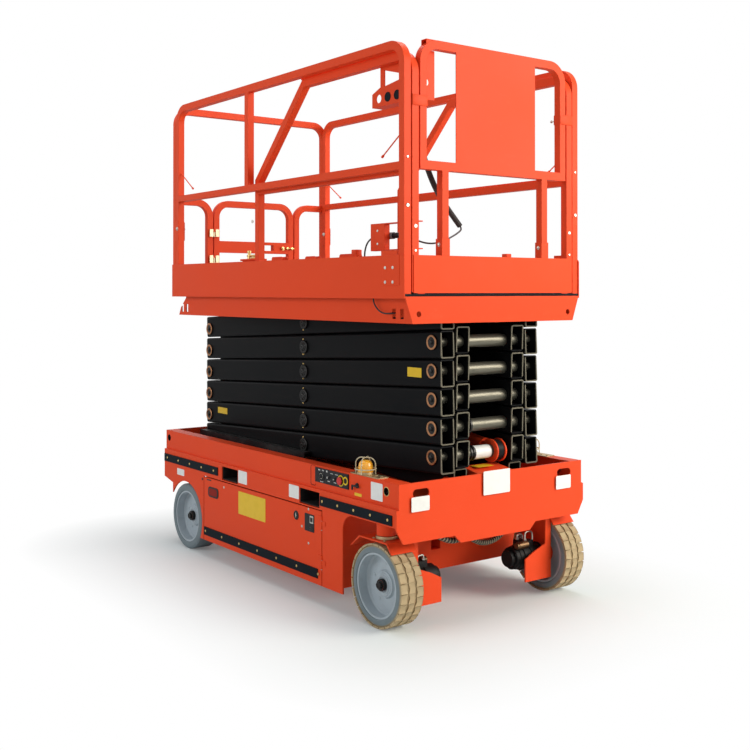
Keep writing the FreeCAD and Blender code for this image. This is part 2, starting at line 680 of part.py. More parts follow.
def track(middle_z):
    """Channel that a roller runs in."""
    outside = box(track_rear_x - s.track_wall, s.track_reach_x, track_start_y, track_end_y,
                  middle_z - track_half_height - s.track_wall, middle_z + track_half_height + s.track_wall)
    inside = box(track_rear_x, s.track_reach_x + 1, track_start_y - 1, track_end_y - s.track_wall,
                 middle_z - track_half_height, middle_z + track_half_height)
    return cut(outside, inside)


track_foot = box(track_rear_x - s.track_wall, s.track_reach_x, track_end_y - s.track_wall, track_end_y,
                 s.floor_top_z, s.pivot_base_z - track_half_height)
keep("stack_tracks", *both(fuse(track(s.pivot_base_z), track_foot)))


def hinge(axis_x, axis_y, low_z, radius, pin_radius, face, wall, leaf_ends, turn):
    """Fixed and moving halves of a hinge. face and wall place the leaves across their plane,
    leaf_ends are the far edges of the fixed and the moving leaf, and turn swaps the plane to XZ."""
    middle_z = low_z + s.hinge_height / 2
    top_z = low_z + s.hinge_height
    halves = []
    for end, low, high in ((leaf_ends[0], low_z, middle_z - 1), (leaf_ends[1], middle_z, top_z)):
        forward = float(end) > float(axis_x if turn else axis_y)
        span = (axis_x, end) if turn else (axis_y, end)
        first, last = span if forward else span[::-1]
        if turn:
            leaf = box(first, last, face, face + wall, low, high)
        else:
            leaf = box(face, face + wall, first, last, low, high)
        halves.append(fuse(leaf, rod("z", radius, low, high, axis_x, axis_y)))
    pin = rod("z", pin_radius, low_z, top_z, axis_x, axis_y)
    bore = rod("z", pin_radius + s.running_fit, low_z - 1, top_z + 1, axis_x, axis_y)
    return fuse(halves[0], pin), cut(halves[1], bore), bore


tray_hinges = [hinge(s.tray_hinge_x, tray_hinge_y, s.tray_hinge_z + rise, s.tray_knuckle, s.tray_pin, side_half,
                     s.hinge_wall, (s.tray_hinge_x + s.hinge_leaf, s.tray_hinge_x - s.hinge_leaf), True)
               for rise in (0, s.tray_hinge_pitch)]
hinge_rooms = [rod("z", s.tray_knuckle + s.knuckle_play, s.tray_hinge_z + rise - 1,
                   s.tray_hinge_z + rise + s.hinge_height + 1, s.tray_hinge_x, tray_hinge_y)
               for rise in (0, s.tray_hinge_pitch)]


def side_panel():
    """Lower side plate with the rear wheel arch, the tray door's opening and fork pockets."""
    curve = s.panel_curve
    arch_rear_x = s.rear_axle_x - s.arch_flat
    door_edge_x = s.door_rear_x - s.side_play
    lintel_z = s.door_top_z + s.side_play
    points = [
        (s.chassis_rear_x, s.beam_bottom_z),
        (s.chassis_rear_x, s.rear_lip_z),
        (arch_rear_x, s.rear_lip_z - s.rear_lip_drop),
        (arch_rear_x, wheel_radius),
        (s.rear_axle_x, wheel_radius),
        (s.rear_axle_x, s.belly_z),
        (door_edge_x, s.belly_z),
        (door_edge_x, lintel_z),
        (s.fixed_panel_x, lintel_z),
        (s.fixed_panel_x, s.belly_z),
        (s.fixed_panel_end_x, s.belly_z),
        (s.fixed_panel_end_x, s.arch_top_z - curve),
        (s.fixed_panel_end_x + curve, s.arch_top_z),
        (front_plate_back, s.arch_top_z),
        (front_plate_back, s.beam_bottom_z),
    ]
    plate = padded("xz", points, panel_inner, s.side_wall)
    corner = box(s.fixed_panel_end_x, s.fixed_panel_end_x + curve, panel_inner, side_half,
                 s.arch_top_z - curve, s.arch_top_z)
    round_off = rod("y", curve, panel_inner - 1, side_half + 1, s.fixed_panel_end_x + curve,
                    s.arch_top_z - curve)
    arch = rod("y", s.arch_radius, panel_inner - 1, side_half + 1, s.rear_axle_x, wheel_radius)
    whole = cut(fuse(plate, cut(corner, round_off)), round_off, arch, *pocket_cuts, *hinge_rooms)
    return fuse(whole, *[fixed for fixed, moving, bore in tray_hinges])


left_panel = side_panel()
keep("side_panel_left", left_panel)
keep("side_panel_right", mirror(left_panel))

# Front plate: hand slots, ears at the sides and a lower tongue in the middle.
plate_half = beam_half + s.ear_step
front_outline = [
    (plate_half, s.beam_top_z),
    (plate_half, s.beam_bottom_z),
    (front_ear_half, s.beam_bottom_z - s.ear_step),
    (front_ear_half, s.arch_top_z - s.ear_step),
    (front_foot_half, s.front_foot_z),
    (s.front_tongue_half + s.front_foot_z - s.front_tongue_z, s.front_foot_z),
    (s.front_tongue_half, s.front_tongue_z),
]
front_points = front_outline + [(-across, up) for across, up in reversed(front_outline)]
front_plate = padded("yz", front_points, front_plate_back, s.front_plate_wall)
hand_slots = [slot("x", front_plate_back - 1, s.front_plate_wall + 2, side * hand_slot_y, s.hand_slot_z,
                   s.hand_slot_length, s.hand_slot_height) for side in (-1, 1)]
keep("front_plate", cut(front_plate, *hand_slots))

# Rear plate with foot slots, the lower steps of the way up to the gate.
rear_plate = box(s.chassis_rear_x, rear_plate_front, -beam_half, beam_half, s.rear_lip_z + s.side_wall,
                 s.beam_top_z)
foot_slots = [slot("x", s.chassis_rear_x - 1, s.front_plate_wall + 2, size_of(0), s.foot_slot_z + rise,
                   s.foot_slot_length, s.foot_slot_height) for rise in (0, s.foot_slot_pitch)]
keep("rear_plate", cut(rear_plate, *foot_slots))

# Rubber strips along the side plates, two on each side and one on each tray door.
strip_end_y = side_half + s.strip_proud
strips = []
for strip_start_x, strip_end_x in ((s.chassis_rear_x + s.side_play, s.rear_strip_end_x),
                                   (s.front_strip_x, s.front_strip_end_x)):
    strips.append(box(strip_start_x, strip_end_x, side_half, strip_end_y, s.strip_z,
                      s.strip_z + s.strip_height))
keep("bump_strips", *strips, *[mirror(strip) for strip in strips])

# Swing-out trays: the door carries the battery or the pump behind it.
tray_inner = side_half - s.tray_depth
tray_rear_x = s.door_rear_x + s.tray_inset
tray_front_x = s.door_front_x - s.tray_inset
tray_floor_top = s.tray_floor_z + s.side_wall
door_bottom_z = s.belly_z
door = box(s.door_rear_x, s.door_front_x, panel_inner, side_half, door_bottom_z, s.door_top_z)
tray_floor = box(tray_rear_x, tray_front_x, tray_inner, panel_inner, s.tray_floor_z, tray_floor_top)
tray_end = box(tray_rear_x, tray_rear_x + s.side_wall, tray_inner, panel_inner, s.tray_floor_z,
               s.tray_floor_z + s.tray_end_height)
tray_load = box(tray_rear_x + s.side_wall, tray_front_x - s.side_wall, tray_inner, panel_inner - s.tray_inset / 2,
                tray_floor_top, s.tray_top_z)
other_end = box(tray_front_x - s.side_wall, tray_front_x, tray_inner, panel_inner, s.tray_floor_z,
                s.tray_floor_z + s.tray_end_height)
tray = fuse(cut(door, *hinge_rooms), tray_floor, tray_end, other_end, tray_load, *[moving for fixed, moving, bore in tray_hinges])
keep("tray_left", tray)
keep("tray_right", mirror(tray))
tray_strip = box(s.door_rear_x + s.side_play, s.door_front_x - s.tray_inset / 2, side_half, strip_end_y,
                 s.door_strip_z, s.door_strip_z + s.strip_height)
keep("tray_strip_left", tray_strip)
keep("tray_strip_right", mirror(tray_strip))

# Ground control panel and beacons on the side beams.
keep("ground_control", box(s.ground_panel_x, s.ground_panel_x + s.ground_panel_length,
                           -beam_half - s.ground_panel_depth, -beam_half, s.ground_panel_z,
                           s.ground_panel_z + s.ground_panel_height))
dome_z = s.beam_top_z + s.beacon_foot
ball = doc.addObject("Part::Sphere", "Dome")
bind(ball, "Radius", s.beacon_radius)
place(ball, s.beacon_x, beacon_y, dome_z)
below_dome = box(s.beacon_x - s.beacon_radius - 1, s.beacon_x + s.beacon_radius + 1,
                 beacon_y - s.beacon_radius - 1, beacon_y + s.beacon_radius + 1,
                 dome_z - s.beacon_radius - 1, dome_z)
beacon_foot = rod("z", s.beacon_radius + s.side_play, s.beam_top_z, dome_z, s.beacon_x, beacon_y)
keep("beacons", *both(fuse(cut(ball, below_dome), beacon_foot)))

# Steered knuckles: kingpin, bent arch plate over the wheel, guard plate, spindle and drive motor.
web_outer_y = tyre_inner_y - s.side_wall
web_inner_y = web_outer_y - s.side_wall
fender_bottom_z = s.fender_top_z - s.fender_wall
rear_bend_x = s.fender_rear_x + s.fender_rear_run
front_bend_x = s.fender_front_x - s.fender_front_run
fender_points = [
    (s.fender_rear_x, s.fender_rear_z),
    (rear_bend_x, s.fender_top_z),
    (front_bend_x, s.fender_top_z),
    (s.fender_front_x, s.fender_front_z),
    (s.fender_front_x - s.fender_wall, s.fender_front_z),
    (front_bend_x - s.fender_wall / 2, fender_bottom_z),
    (rear_bend_x + s.fender_wall / 2, fender_bottom_z),
    (s.fender_rear_x + s.fender_wall, s.fender_rear_z),
]
fender = padded("xz", fender_points, web_inner_y, s.track_half - web_inner_y)
web = box(s.front_axle_x - s.knuckle_web_rear, s.guard_front_x, web_inner_y, web_outer_y, s.guard_bottom_z,
          fender_bottom_z)
web = rounded(web, "y", s.knuckle_web_rear / 2, lambda middle: middle.x < float(s.front_axle_x)
              and middle.z < float(wheel_radius))
guard_points = [
    (web_inner_y, s.guard_bottom_z),
    (s.guard_inner_y, s.guard_bottom_z),
    (s.guard_inner_y, s.guard_bottom_z + s.guard_low_height),
    (s.guard_inner_y + s.guard_step / 2, s.guard_bottom_z + s.guard_low_height + s.guard_step / 4),
    (web_inner_y - s.guard_step / 4, s.guard_bottom_z + s.guard_low_height + s.guard_step / 2),
    (web_inner_y - s.guard_step / 4, fender_bottom_z),
    (web_inner_y, fender_bottom_z),
]
guard = padded("yz", guard_points, s.guard_front_x - s.side_wall, s.side_wall)
kingpin = rod("z", s.kingpin_radius, fender_bottom_z, front_floor_top + s.side_wall, s.front_axle_x,
              kingpin_y)
kingpin_collar = rod("z", s.kingpin_boss, fender_bottom_z, s.kingpin_boss_z - s.lug_gap, s.front_axle_x,
                     kingpin_y)
knuckle = fuse(fender, web, guard, kingpin, kingpin_collar, spindle(s.front_axle_x, web_inner_y))
keep("knuckle_left", knuckle)
keep("knuckle_right", mirror(knuckle))
motor_case = rod("y", s.motor_radius, s.motor_inner_y + s.motor_end, web_inner_y, s.front_axle_x,
                 wheel_radius)
motor_end = rod("y", s.motor_end_radius, s.motor_inner_y, s.motor_inner_y + s.motor_end, s.front_axle_x,
                wheel_radius)
motor = fuse(motor_case, motor_end)
keep("drive_motor_left", motor)
keep("drive_motor_right", mirror(motor))

# Scissor stack: inner and outer tube pairs, each stage pinned at its middle and its ends.
# In an arm's own frame the front pin is the origin and the tube runs back along X.
pin_span_x = s.pivot_front_x - s.pivot_rear_x
arm_span = root(pin_span_x * pin_span_x + s.stage_rise * s.stage_rise)
tube_run = root(arm_span * arm_span - 4 * s.pin_offset * s.pin_offset)
slope = angle_of(s.stage_rise, pin_span_x) - angle_of(2 * s.pin_offset, tube_run)
inner_far_y = s.inner_arm_y + s.arm_width
outer_far_y = s.outer_arm_y + s.arm_width
sleeve_bore = s.pin_radius + s.running_fit
pin_inner_y = s.inner_arm_y - s.pin_reach


def arm_tube(low_y, up, overhang):
    """Open-ended tube of one arm; up is 1 where the rear end is the higher one."""
    start = -tube_run - s.rear_overhang
    middle = up * s.pin_offset
    half = s.arm_height / 2
    outside = box(start, overhang, low_y, low_y + s.arm_width, middle - half, middle + half)
    inside = box(start - 1, overhang + 1, low_y + s.arm_wall, low_y + s.arm_width - s.arm_wall,
                 middle - half + s.arm_wall, middle + half - s.arm_wall)
    return cut(rounded(outside, "x", s.arm_corner, lambda point: True),
               rounded(inside, "x", s.arm_corner - s.arm_wall, lambda point: True))


def pin_places(up):
    """Front, middle and rear pins in the arm's own frame, as X and Z."""
    return [
        (size_of(0), size_of(0)),
        (-tube_run / 2, up * s.pin_offset),
        (-tube_run, 2 * up * s.pin_offset),
    ]


def set_arm(arm, up, rows_up):
    """Put a finished arm's front pin on a pin row and turn the arm to its slope."""
    height = s.pivot_base_z + rows_up * s.stage_rise
    place(arm, s.pivot_front_x, size_of(0), height, Rotation(Vector(0, 1, 0), up * float(slope)))
    bind(arm, "Placement.Rotation.Angle", up * slope)


def rod_ears(rear_x, rear_z):
    """Two ears on the third stage's rear cross tube, which the lift cylinder pushes."""
    pieces = []
    gap_half = s.eye_width / 2 + s.lug_gap
    for low in (s.cylinder_y - gap_half - s.lug_wall, s.cylinder_y + gap_half):
        high = low + s.lug_wall
        pieces.append(box(rear_x, rear_x + s.eye_back, low, high, rear_z - s.eye_radius, rear_z + s.eye_radius))
        pieces.append(rod("y", s.eye_radius, low, high, rear_x + s.eye_back, rear_z))
    return pieces


def inner_arm(stage):
    """Two tubes joined by cross tubes, with bores for the outer arms' pins."""
    front, middle, rear = pin_places(1)
    first = stage == 1
    overhang = s.base_overhang if first else s.front_overhang
    pieces = both(arm_tube(s.inner_arm_y, 1, overhang))
    for x, z in (middle, front) if first else (middle,):
        pieces += both(rod("y", s.sleeve_radius, s.inner_arm_y, inner_far_y, x, z))
    for x, z in (rear,) if first else (front, rear):
        pieces.append(rod("y", s.sleeve_radius, -inner_far_y, inner_far_y, x, z))
    if stage == LIFTED_STAGE:
        pieces += rod_ears(*rear)
    bored = [front, middle] if stage == STAGES else [front, middle, rear]
    bores = [rod("y", sleeve_bore, -inner_far_y - 1, inner_far_y + 1, x, z) for x, z in bored]
    arm = cut(fuse(*pieces), *bores)
    if stage < STAGES:
        return arm
    top_pin = rod("y", s.pin_radius, s.inner_arm_y, roller_end_y, *rear)
    roller = rod("y", s.roller_radius, track_start_y, roller_end_y, *rear)
    return fuse(arm, *both(top_pin), *both(roller))


def outer_arm(stage):
    """Two tubes that carry the stage's pins, with a ring on each outer face."""
    front, middle, rear = pin_places(-1)
    pieces = [arm_tube(s.outer_arm_y, -1, s.front_overhang)]
    for x, z in (front, middle, rear):
        lowest = stage == 1 and x is rear[0]
        pin_start = s.outer_arm_y if lowest else pin_inner_y
        pieces.append(rod("y", s.pin_radius, pin_start, outer_far_y, x, z))
        pieces.append(rod("y", s.ring_radius, outer_far_y, outer_far_y + s.ring_wall, x, z))
        if not lowest:
            pieces.append(rod("y", s.ring_radius, inner_far_y + s.lug_gap, s.outer_arm_y, x, z))
    if stage == 1:
        pieces.append(rod("y", s.roller_radius, outer_far_y, roller_end_y, *rear))
    left = fuse(*pieces)
    pair = doc.addObject("Part::Compound", "Pair")
    pair.Links = both(left)
    return pair


STAGES = 6
LIFTED_STAGE = 3
for stage in range(1, STAGES + 1):
    inner = inner_arm(stage)
    set_arm(inner, 1, stage - 1)
    keep(f"inner_arm_{stage}", inner)
    outer = outer_arm(stage)
    set_arm(outer, -1, stage)
    keep(f"outer_arm_{stage}", outer)

# Lift cylinder: its foot turns on the second stage's front cross tube.
# In its own frame it runs along X from the foot's centre.
ear_run = tube_run - s.eye_back
foot_z = s.pivot_base_z + s.stage_rise
ear_angle = slope
ear_x = s.pivot_front_x - ear_run * cosine(slope) + 2 * s.pin_offset * sine(slope)
ear_z = s.pivot_base_z + 2 * s.stage_rise + ear_run * sine(slope) + 2 * s.pin_offset * cosine(slope)
cylinder_run = s.pivot_front_x - ear_x
cylinder_rise = ear_z - foot_z
cylinder_length = root(cylinder_run * cylinder_run + cylinder_rise * cylinder_rise)
cylinder_angle = angle_of(cylinder_rise, cylinder_run)
foot_half = s.foot_width / 2


def set_cylinder(piece):
    """Put a piece of the cylinder at its foot and point it back and up."""
    place(piece, s.pivot_front_x, size_of(0), foot_z, Rotation(Vector(0, 1, 0), float(cylinder_angle)))
    bind(piece, "Placement.Rotation.Angle", cylinder_angle)


barrel = rod("x", s.barrel_radius, -s.barrel_length, -s.barrel_start, s.cylinder_y, size_of(0))
gland = rod("x", s.barrel_radius + s.ring_wall, -s.barrel_length - s.ring_wall, -s.barrel_length + s.barrel_start,
            s.cylinder_y, size_of(0))
foot = box(-s.barrel_start - s.ring_wall, 0, s.cylinder_y - foot_half, s.cylinder_y + foot_half,
           -s.foot_half_height, s.foot_half_height)
foot_eye = rod("y", s.base_ring_radius - s.ring_wall, s.cylinder_y - foot_half, s.cylinder_y + foot_half,
               size_of(0), size_of(0))
base_rings = [rod("y", s.base_ring_radius, s.cylinder_y + place_y - s.base_ring_wall / 2,
                  s.cylinder_y + place_y + s.base_ring_wall / 2, size_of(0), size_of(0))
              for place_y in (-foot_half, foot_half)]
rod_room = rod("x", s.rod_radius + s.running_fit, -s.barrel_length - s.ring_wall - 1,
               -s.barrel_start - s.barrel_radius, s.cylinder_y, size_of(0))
foot_bore = rod("y", s.sleeve_radius + s.running_fit, s.cylinder_y - s.arm_width, s.cylinder_y + s.arm_width,
                size_of(0), size_of(0))
lift_barrel = cut(fuse(barrel, gland, foot, foot_eye, *base_rings), rod_room, foot_bore)
set_cylinder(lift_barrel)
keep("lift_barrel", lift_barrel)
eye_clear = s.eye_radius + s.side_play
piston_rod = rod("x", s.rod_radius, -cylinder_length + eye_clear, -s.barrel_start - s.barrel_radius * 2,
                 s.cylinder_y, size_of(0))
eye_neck = rod("x", s.eye_width / 2 - s.lug_gap, -cylinder_length, -cylinder_length + eye_clear + 1, s.cylinder_y, size_of(0))
rod_eye = rod("y", s.eye_radius, s.cylinder_y - s.eye_width / 2, s.cylinder_y + s.eye_width / 2,
              -cylinder_length, size_of(0))
lift_rod = fuse(piston_rod, eye_neck, rod_eye)
set_cylinder(lift_rod)
keep("lift_rod", lift_rod)

# Platform: deck, under-frame with its skirts, tracks and pivot lugs, and toe boards.
top_pin_z = s.pivot_base_z + STAGES * s.stage_rise
deck_top_z = s.deck_z + s.deck_wall
skirt_inner = s.skirt_half - s.skirt_wall
toe_inner = s.platform_half - s.toe_wall
deck = box(s.platform_rear_x + s.toe_wall, s.platform_front_x - s.skirt_wall, -toe_inner, toe_inner, s.deck_z,
           deck_top_z)
keep("platform_deck", deck)
skirt_points = [
    (s.skirt_rear_x + s.skirt_slant, s.deck_z),
    (s.skirt_rear_x + s.skirt_slant, s.deck_z - s.skirt_lip),
    (s.skirt_rear_x + s.skirt_slant / 4, s.skirt_bottom_z + s.skirt_lip * 2),
    (s.skirt_rear_x, s.skirt_bottom_z),
    (s.platform_front_x - s.skirt_wall, s.skirt_bottom_z),
    (s.platform_front_x - s.skirt_wall, s.deck_z),
]
skirt = padded("xz", skirt_points, skirt_inner, s.skirt_wall)
front_skirt_outline = [
    (toe_inner, s.skirt_front_z),
    (s.skirt_half, s.skirt_bottom_z),
]
front_skirt_points = front_skirt_outline + [(-across, up) for across, up in reversed(front_skirt_outline)]
front_skirt = padded("yz", front_skirt_points, s.platform_front_x - s.skirt_wall, s.skirt_wall)
skirt_slots = []
for slot_x in (s.slot_rear_x, s.slot_rear_x + s.slot_pitch, s.slot_front_x, s.slot_front_x + s.slot_pitch):
    skirt_slots.append(box(slot_x - s.slot_width / 2, slot_x + s.slot_width / 2, skirt_inner - 1,
                           s.skirt_half + 1, s.slot_z - s.slot_height / 2, s.slot_z + s.slot_height / 2))
front_holes = [rod("x", s.slot_width / 2, s.platform_front_x - s.skirt_wall - 1, s.platform_front_x + 1,
                   side * s.skirt_hole_y, s.slot_z) for side in (-1, 1)]
cross_bars = [box(bar_x, bar_x + s.cross_bar_width, -skirt_inner, skirt_inner, s.deck_z - s.cross_bar_depth,
                  s.deck_z) for bar_x in (s.skirt_rear_x + s.skirt_slant, s.cross_bar_x,
                                          s.cross_bar_x + s.cross_bar_pitch,
                                          s.cross_bar_x + 2 * s.cross_bar_pitch)]
hanger = box(s.platform_rear_x + s.toe_wall, s.track_reach_x, track_end_y - s.track_wall, track_end_y,
             top_pin_z + track_half_height, s.deck_z)
long_beam = box(s.track_reach_x, s.platform_front_x - s.skirt_wall, track_end_y - s.track_wall, track_end_y,
                s.skirt_bottom_z + s.skirt_lip, s.deck_z)
top_lug = box(s.pivot_front_x - s.ring_radius, s.pivot_front_x + s.ring_radius, s.top_lug_y,
              s.top_lug_y + s.lug_wall, top_pin_z, s.deck_z)
top_crown = rod("y", s.ring_radius, s.top_lug_y, s.top_lug_y + s.lug_wall, s.pivot_front_x, top_pin_z)
lug_bar = box(s.pivot_front_x - s.ring_radius, s.platform_front_x - s.skirt_wall, -s.top_lug_y - s.lug_wall,
              s.top_lug_y + s.lug_wall, s.deck_z - s.cross_bar_depth, s.deck_z)
top_bore = rod("y", sleeve_bore, -inner_far_y, inner_far_y, s.pivot_front_x, top_pin_z)
half_frame = [cut(skirt, *skirt_slots), track(top_pin_z), hanger, long_beam, top_lug, top_crown]
under_frame = fuse(*half_frame, *[mirror(piece) for piece in half_frame], cut(front_skirt, *front_holes),
                   lug_bar, *cross_bars)
keep("platform_frame", cut(under_frame, top_bore))
side_toe = box(s.platform_rear_x, s.platform_front_x, toe_inner, s.platform_half, s.toe_bottom_z, s.toe_top_z)
loop_end = s.gate_half + s.gate_gap
rear_toe = box(s.platform_rear_x, s.platform_rear_x + s.toe_wall, loop_end, toe_inner,
               s.toe_bottom_z, s.toe_top_z)
toe = rounded(fuse(side_toe, rear_toe), "y", s.toe_corner, lambda middle: middle.x > float(s.platform_front_x) - 1
              and middle.z > float(s.toe_top_z) - 1)
keep("toe_boards", *both(toe))


def frame_rail(plane, start, depth, low, high, bottom, top, bend, windows, bends=(True, True)):
    """Guard rail frame cut from a plate with bent upper corners; windows are (low, high, bottom, top)."""
    if plane == "xz":
        plate = box(low, high, start, start + depth, bottom, top)
        corner_axis = "y"
    else:
        plate = box(start, start + depth, low, high, bottom, top)
        corner_axis = "x"
    along = (lambda point: point.x) if plane == "xz" else (lambda point: point.y)
    middle = (float(low) + float(high)) / 2
    plate = rounded(plate, corner_axis, bend, lambda point: point.z > float(top) - 1
                    and (bends[0] if along(point) < middle else bends[1]))
    rooms = []
    for left, right, floor, ceiling, inner_bends in windows:
        if plane == "xz":
            room = box(left, right, start - 1, start + depth + 1, floor, ceiling)
        else:
            room = box(start - 1, start + depth + 1, left, right, floor, ceiling)
        centre = (float(left) + float(right)) / 2
        inner_bend = bend - s.rail_height
        if any(inner_bends):
            room = rounded(room, corner_axis, inner_bend, lambda point: point.z > float(ceiling) - 1
                           and (inner_bends[0] if along(point) < centre else inner_bends[1]))
        rooms.append(room)
    return cut(plate, *rooms)


# Side rails: a tall loop with a middle rail and a short post above it.
rail_outer = toe_inner
rail_inner = rail_outer - s.rail_tube
side_rail_rear = s.platform_rear_x + s.rail_tube + s.lug_gap
mid_rail_bottom = s.mid_rail_z - s.mid_rail_height
side_windows = [
    (side_rail_rear + s.rail_tube, s.side_post_x, s.mid_rail_z, s.rail_top_z - s.rail_height, (True, False)),
    (s.side_post_x + s.rail_tube, s.platform_front_x - s.skirt_wall - s.rail_tube, s.mid_rail_z,
     s.rail_top_z - s.rail_height, (False, True)),
    (side_rail_rear + s.rail_tube, s.platform_front_x - s.skirt_wall - s.rail_tube, deck_top_z - 1,
     mid_rail_bottom, (False, False)),
]
side_rail = frame_rail("xz", rail_inner, s.rail_tube, side_rail_rear, s.platform_front_x - s.skirt_wall,
                       deck_top_z, s.rail_top_z, s.rail_bend, side_windows)
keep("side_rail_left", side_rail)
keep("side_rail_right", mirror(side_rail))

# Rear rail: full-width loop over two half-height loops, with the gate between them.
loop_inner = loop_end + s.rail_tube
post_inner = rail_outer - s.rail_tube
loop_window_top = s.loop_top_z - s.rail_height
rear_rail_x = s.platform_rear_x + s.toe_wall
rear_windows = [
    (-post_inner, post_inner, s.loop_top_z, s.rail_top_z - s.rail_height, (True, True)),
    (-post_inner, -loop_inner, deck_top_z - 1, loop_window_top, (False, True)),
    (loop_inner, post_inner, deck_top_z - 1, loop_window_top, (True, False)),
    (-loop_end, loop_end, deck_top_z - 1, s.loop_top_z + 1, (False, False)),
]
rear_frame = frame_rail("yz", rear_rail_x, s.rail_tube - s.toe_wall, -rail_outer, rail_outer, deck_top_z,
                        s.rail_top_z, s.rail_bend, rear_windows)
loop_corners = rounded(rear_frame, "x", s.rail_bend, lambda point: abs(abs(point.y) - float(loop_end)) < 1
                       and point.z > float(s.loop_top_z) - 1)
gate_hinges = [hinge(s.gate_hinge_x, s.gate_hinge_y, s.gate_hinge_z + rise, s.hinge_radius, s.hinge_pin,
                     rear_rail_x + s.rail_tube - s.toe_wall, s.hinge_wall,
                     (s.gate_hinge_y - s.hinge_leaf, s.gate_hinge_y + s.hinge_leaf), False)
               for rise in (0, s.gate_hinge_pitch)]
keep("rear_rail", fuse(loop_corners, *[fixed for fixed, moving, bore in gate_hinges]))

# Gate: a half-height loop with a flat bar, hinged on its right post.
gate_windows = [
    (-s.gate_half + s.rail_tube, s.gate_half - s.rail_tube, s.gate_bar_z + s.gate_bar_height, loop_window_top,
     (True, True)),
    (-s.gate_half + s.rail_tube, s.gate_half - s.rail_tube, s.gate_bottom_z + s.rail_height, s.gate_bar_z,
     (False, False)),
]
gate = frame_rail("yz", rear_rail_x, s.rail_tube - s.toe_wall, -s.gate_half, s.gate_half, s.gate_bottom_z,
                  s.loop_top_z, s.rail_bend, gate_windows)
gate_slot = box(rear_rail_x - 1, rear_rail_x + s.rail_tube, s.gate_slot_y, s.gate_slot_y + s.gate_slot_length,
                s.gate_bar_z + s.gate_bar_height / 4, s.gate_bar_z + s.gate_bar_height * 0.75)
keep("gate", fuse(cut(gate, gate_slot), *[moving for fixed, moving, bore in gate_hinges]))

# Deck extension: slides forward on the main deck and carries the front rails.
extension_top_z = s.extension_deck_z + s.deck_wall
front_post_x = s.platform_front_x - s.toe_wall
extension_deck = box(s.extension_rear_x, front_post_x, -s.extension_half, s.extension_half, s.extension_deck_z,
                     extension_top_z)
runner = box(s.extension_rear_x, front_post_x, s.runner_y, s.runner_y + s.rail_tube, deck_top_z + s.roller_play,
             s.extension_deck_z)
front_toe = box(front_post_x, s.platform_front_x, -s.front_toe_half, s.front_toe_half, s.front_toe_z,
                s.toe_top_z)
keep("extension_deck", fuse(extension_deck, *both(runner), front_toe))
extension_inner = s.extension_half - s.rail_tube
brace_rise = s.extension_rail_z - s.brace_start_z
rail_inside_z = s.extension_rail_z - s.rail_height
brace_across = s.rail_tube * math.sqrt(2)
extension_points = [
    (s.extension_post_x, extension_top_z),
    (s.extension_post_x, s.brace_start_z),
    (s.extension_post_x + brace_rise, s.extension_rail_z),
    (front_post_x, s.extension_rail_z),
    (front_post_x, extension_top_z),
]
upper_window = [
    (s.extension_post_x + s.rail_tube, s.extension_mid_z),
    (s.extension_post_x + s.rail_tube, s.brace_start_z - brace_across + s.rail_tube),
    (s.extension_post_x + brace_across + rail_inside_z - s.brace_start_z, rail_inside_z),
    (front_post_x - s.rail_tube, rail_inside_z),
    (front_post_x - s.rail_tube, s.extension_mid_z),
]
extension_plate = padded("xz", extension_points, extension_inner, s.rail_tube)
extension_plate = rounded(extension_plate, "y", s.rail_bend, lambda point: point.x > float(front_post_x) - 1
                          and point.z > float(s.extension_rail_z) - 1)
upper_room = padded("xz", upper_window, extension_inner - 1, s.rail_tube + 2)
upper_room = rounded(upper_room, "y", s.rail_bend - s.rail_height, lambda point: point.z > float(rail_inside_z) - 1
                     and point.x > float(front_post_x - s.rail_bend))
lower_room = box(s.extension_post_x + s.rail_tube, front_post_x - s.rail_tube, extension_inner - 1,
                 s.extension_half + 1, extension_top_z - 1, s.extension_mid_z - s.mid_rail_height)
extension_rail = cut(extension_plate, upper_room, lower_room)
keep("extension_rail_left", extension_rail)
keep("extension_rail_right", mirror(extension_rail))

# Front rail: a loop with a sheet panel, on two short posts.
frame_inner = s.front_frame_half - s.rail_tube
front_windows = [
    (-frame_inner, frame_inner, s.front_frame_bottom_z + s.rail_height, s.front_frame_z - s.rail_height,
     (True, True)),
]
front_frame = frame_rail("yz", front_post_x - s.rail_tube, s.rail_tube, -s.front_frame_half, s.front_frame_half,
                         s.front_frame_bottom_z, s.front_frame_z, s.rail_bend, front_windows)
front_panel = box(front_post_x - s.panel_wall, front_post_x, -s.front_panel_half, s.front_panel_half,
                  s.front_frame_bottom_z + s.rail_height, s.front_frame_z - s.rail_height)
front_post = box(front_post_x - s.rail_tube, front_post_x, s.front_post_y - s.rail_tube / 2,
                 s.front_post_y + s.rail_tube / 2, extension_top_z, s.front_frame_bottom_z)
keep("front_rail", fuse(front_frame, front_panel, *both(front_post)))

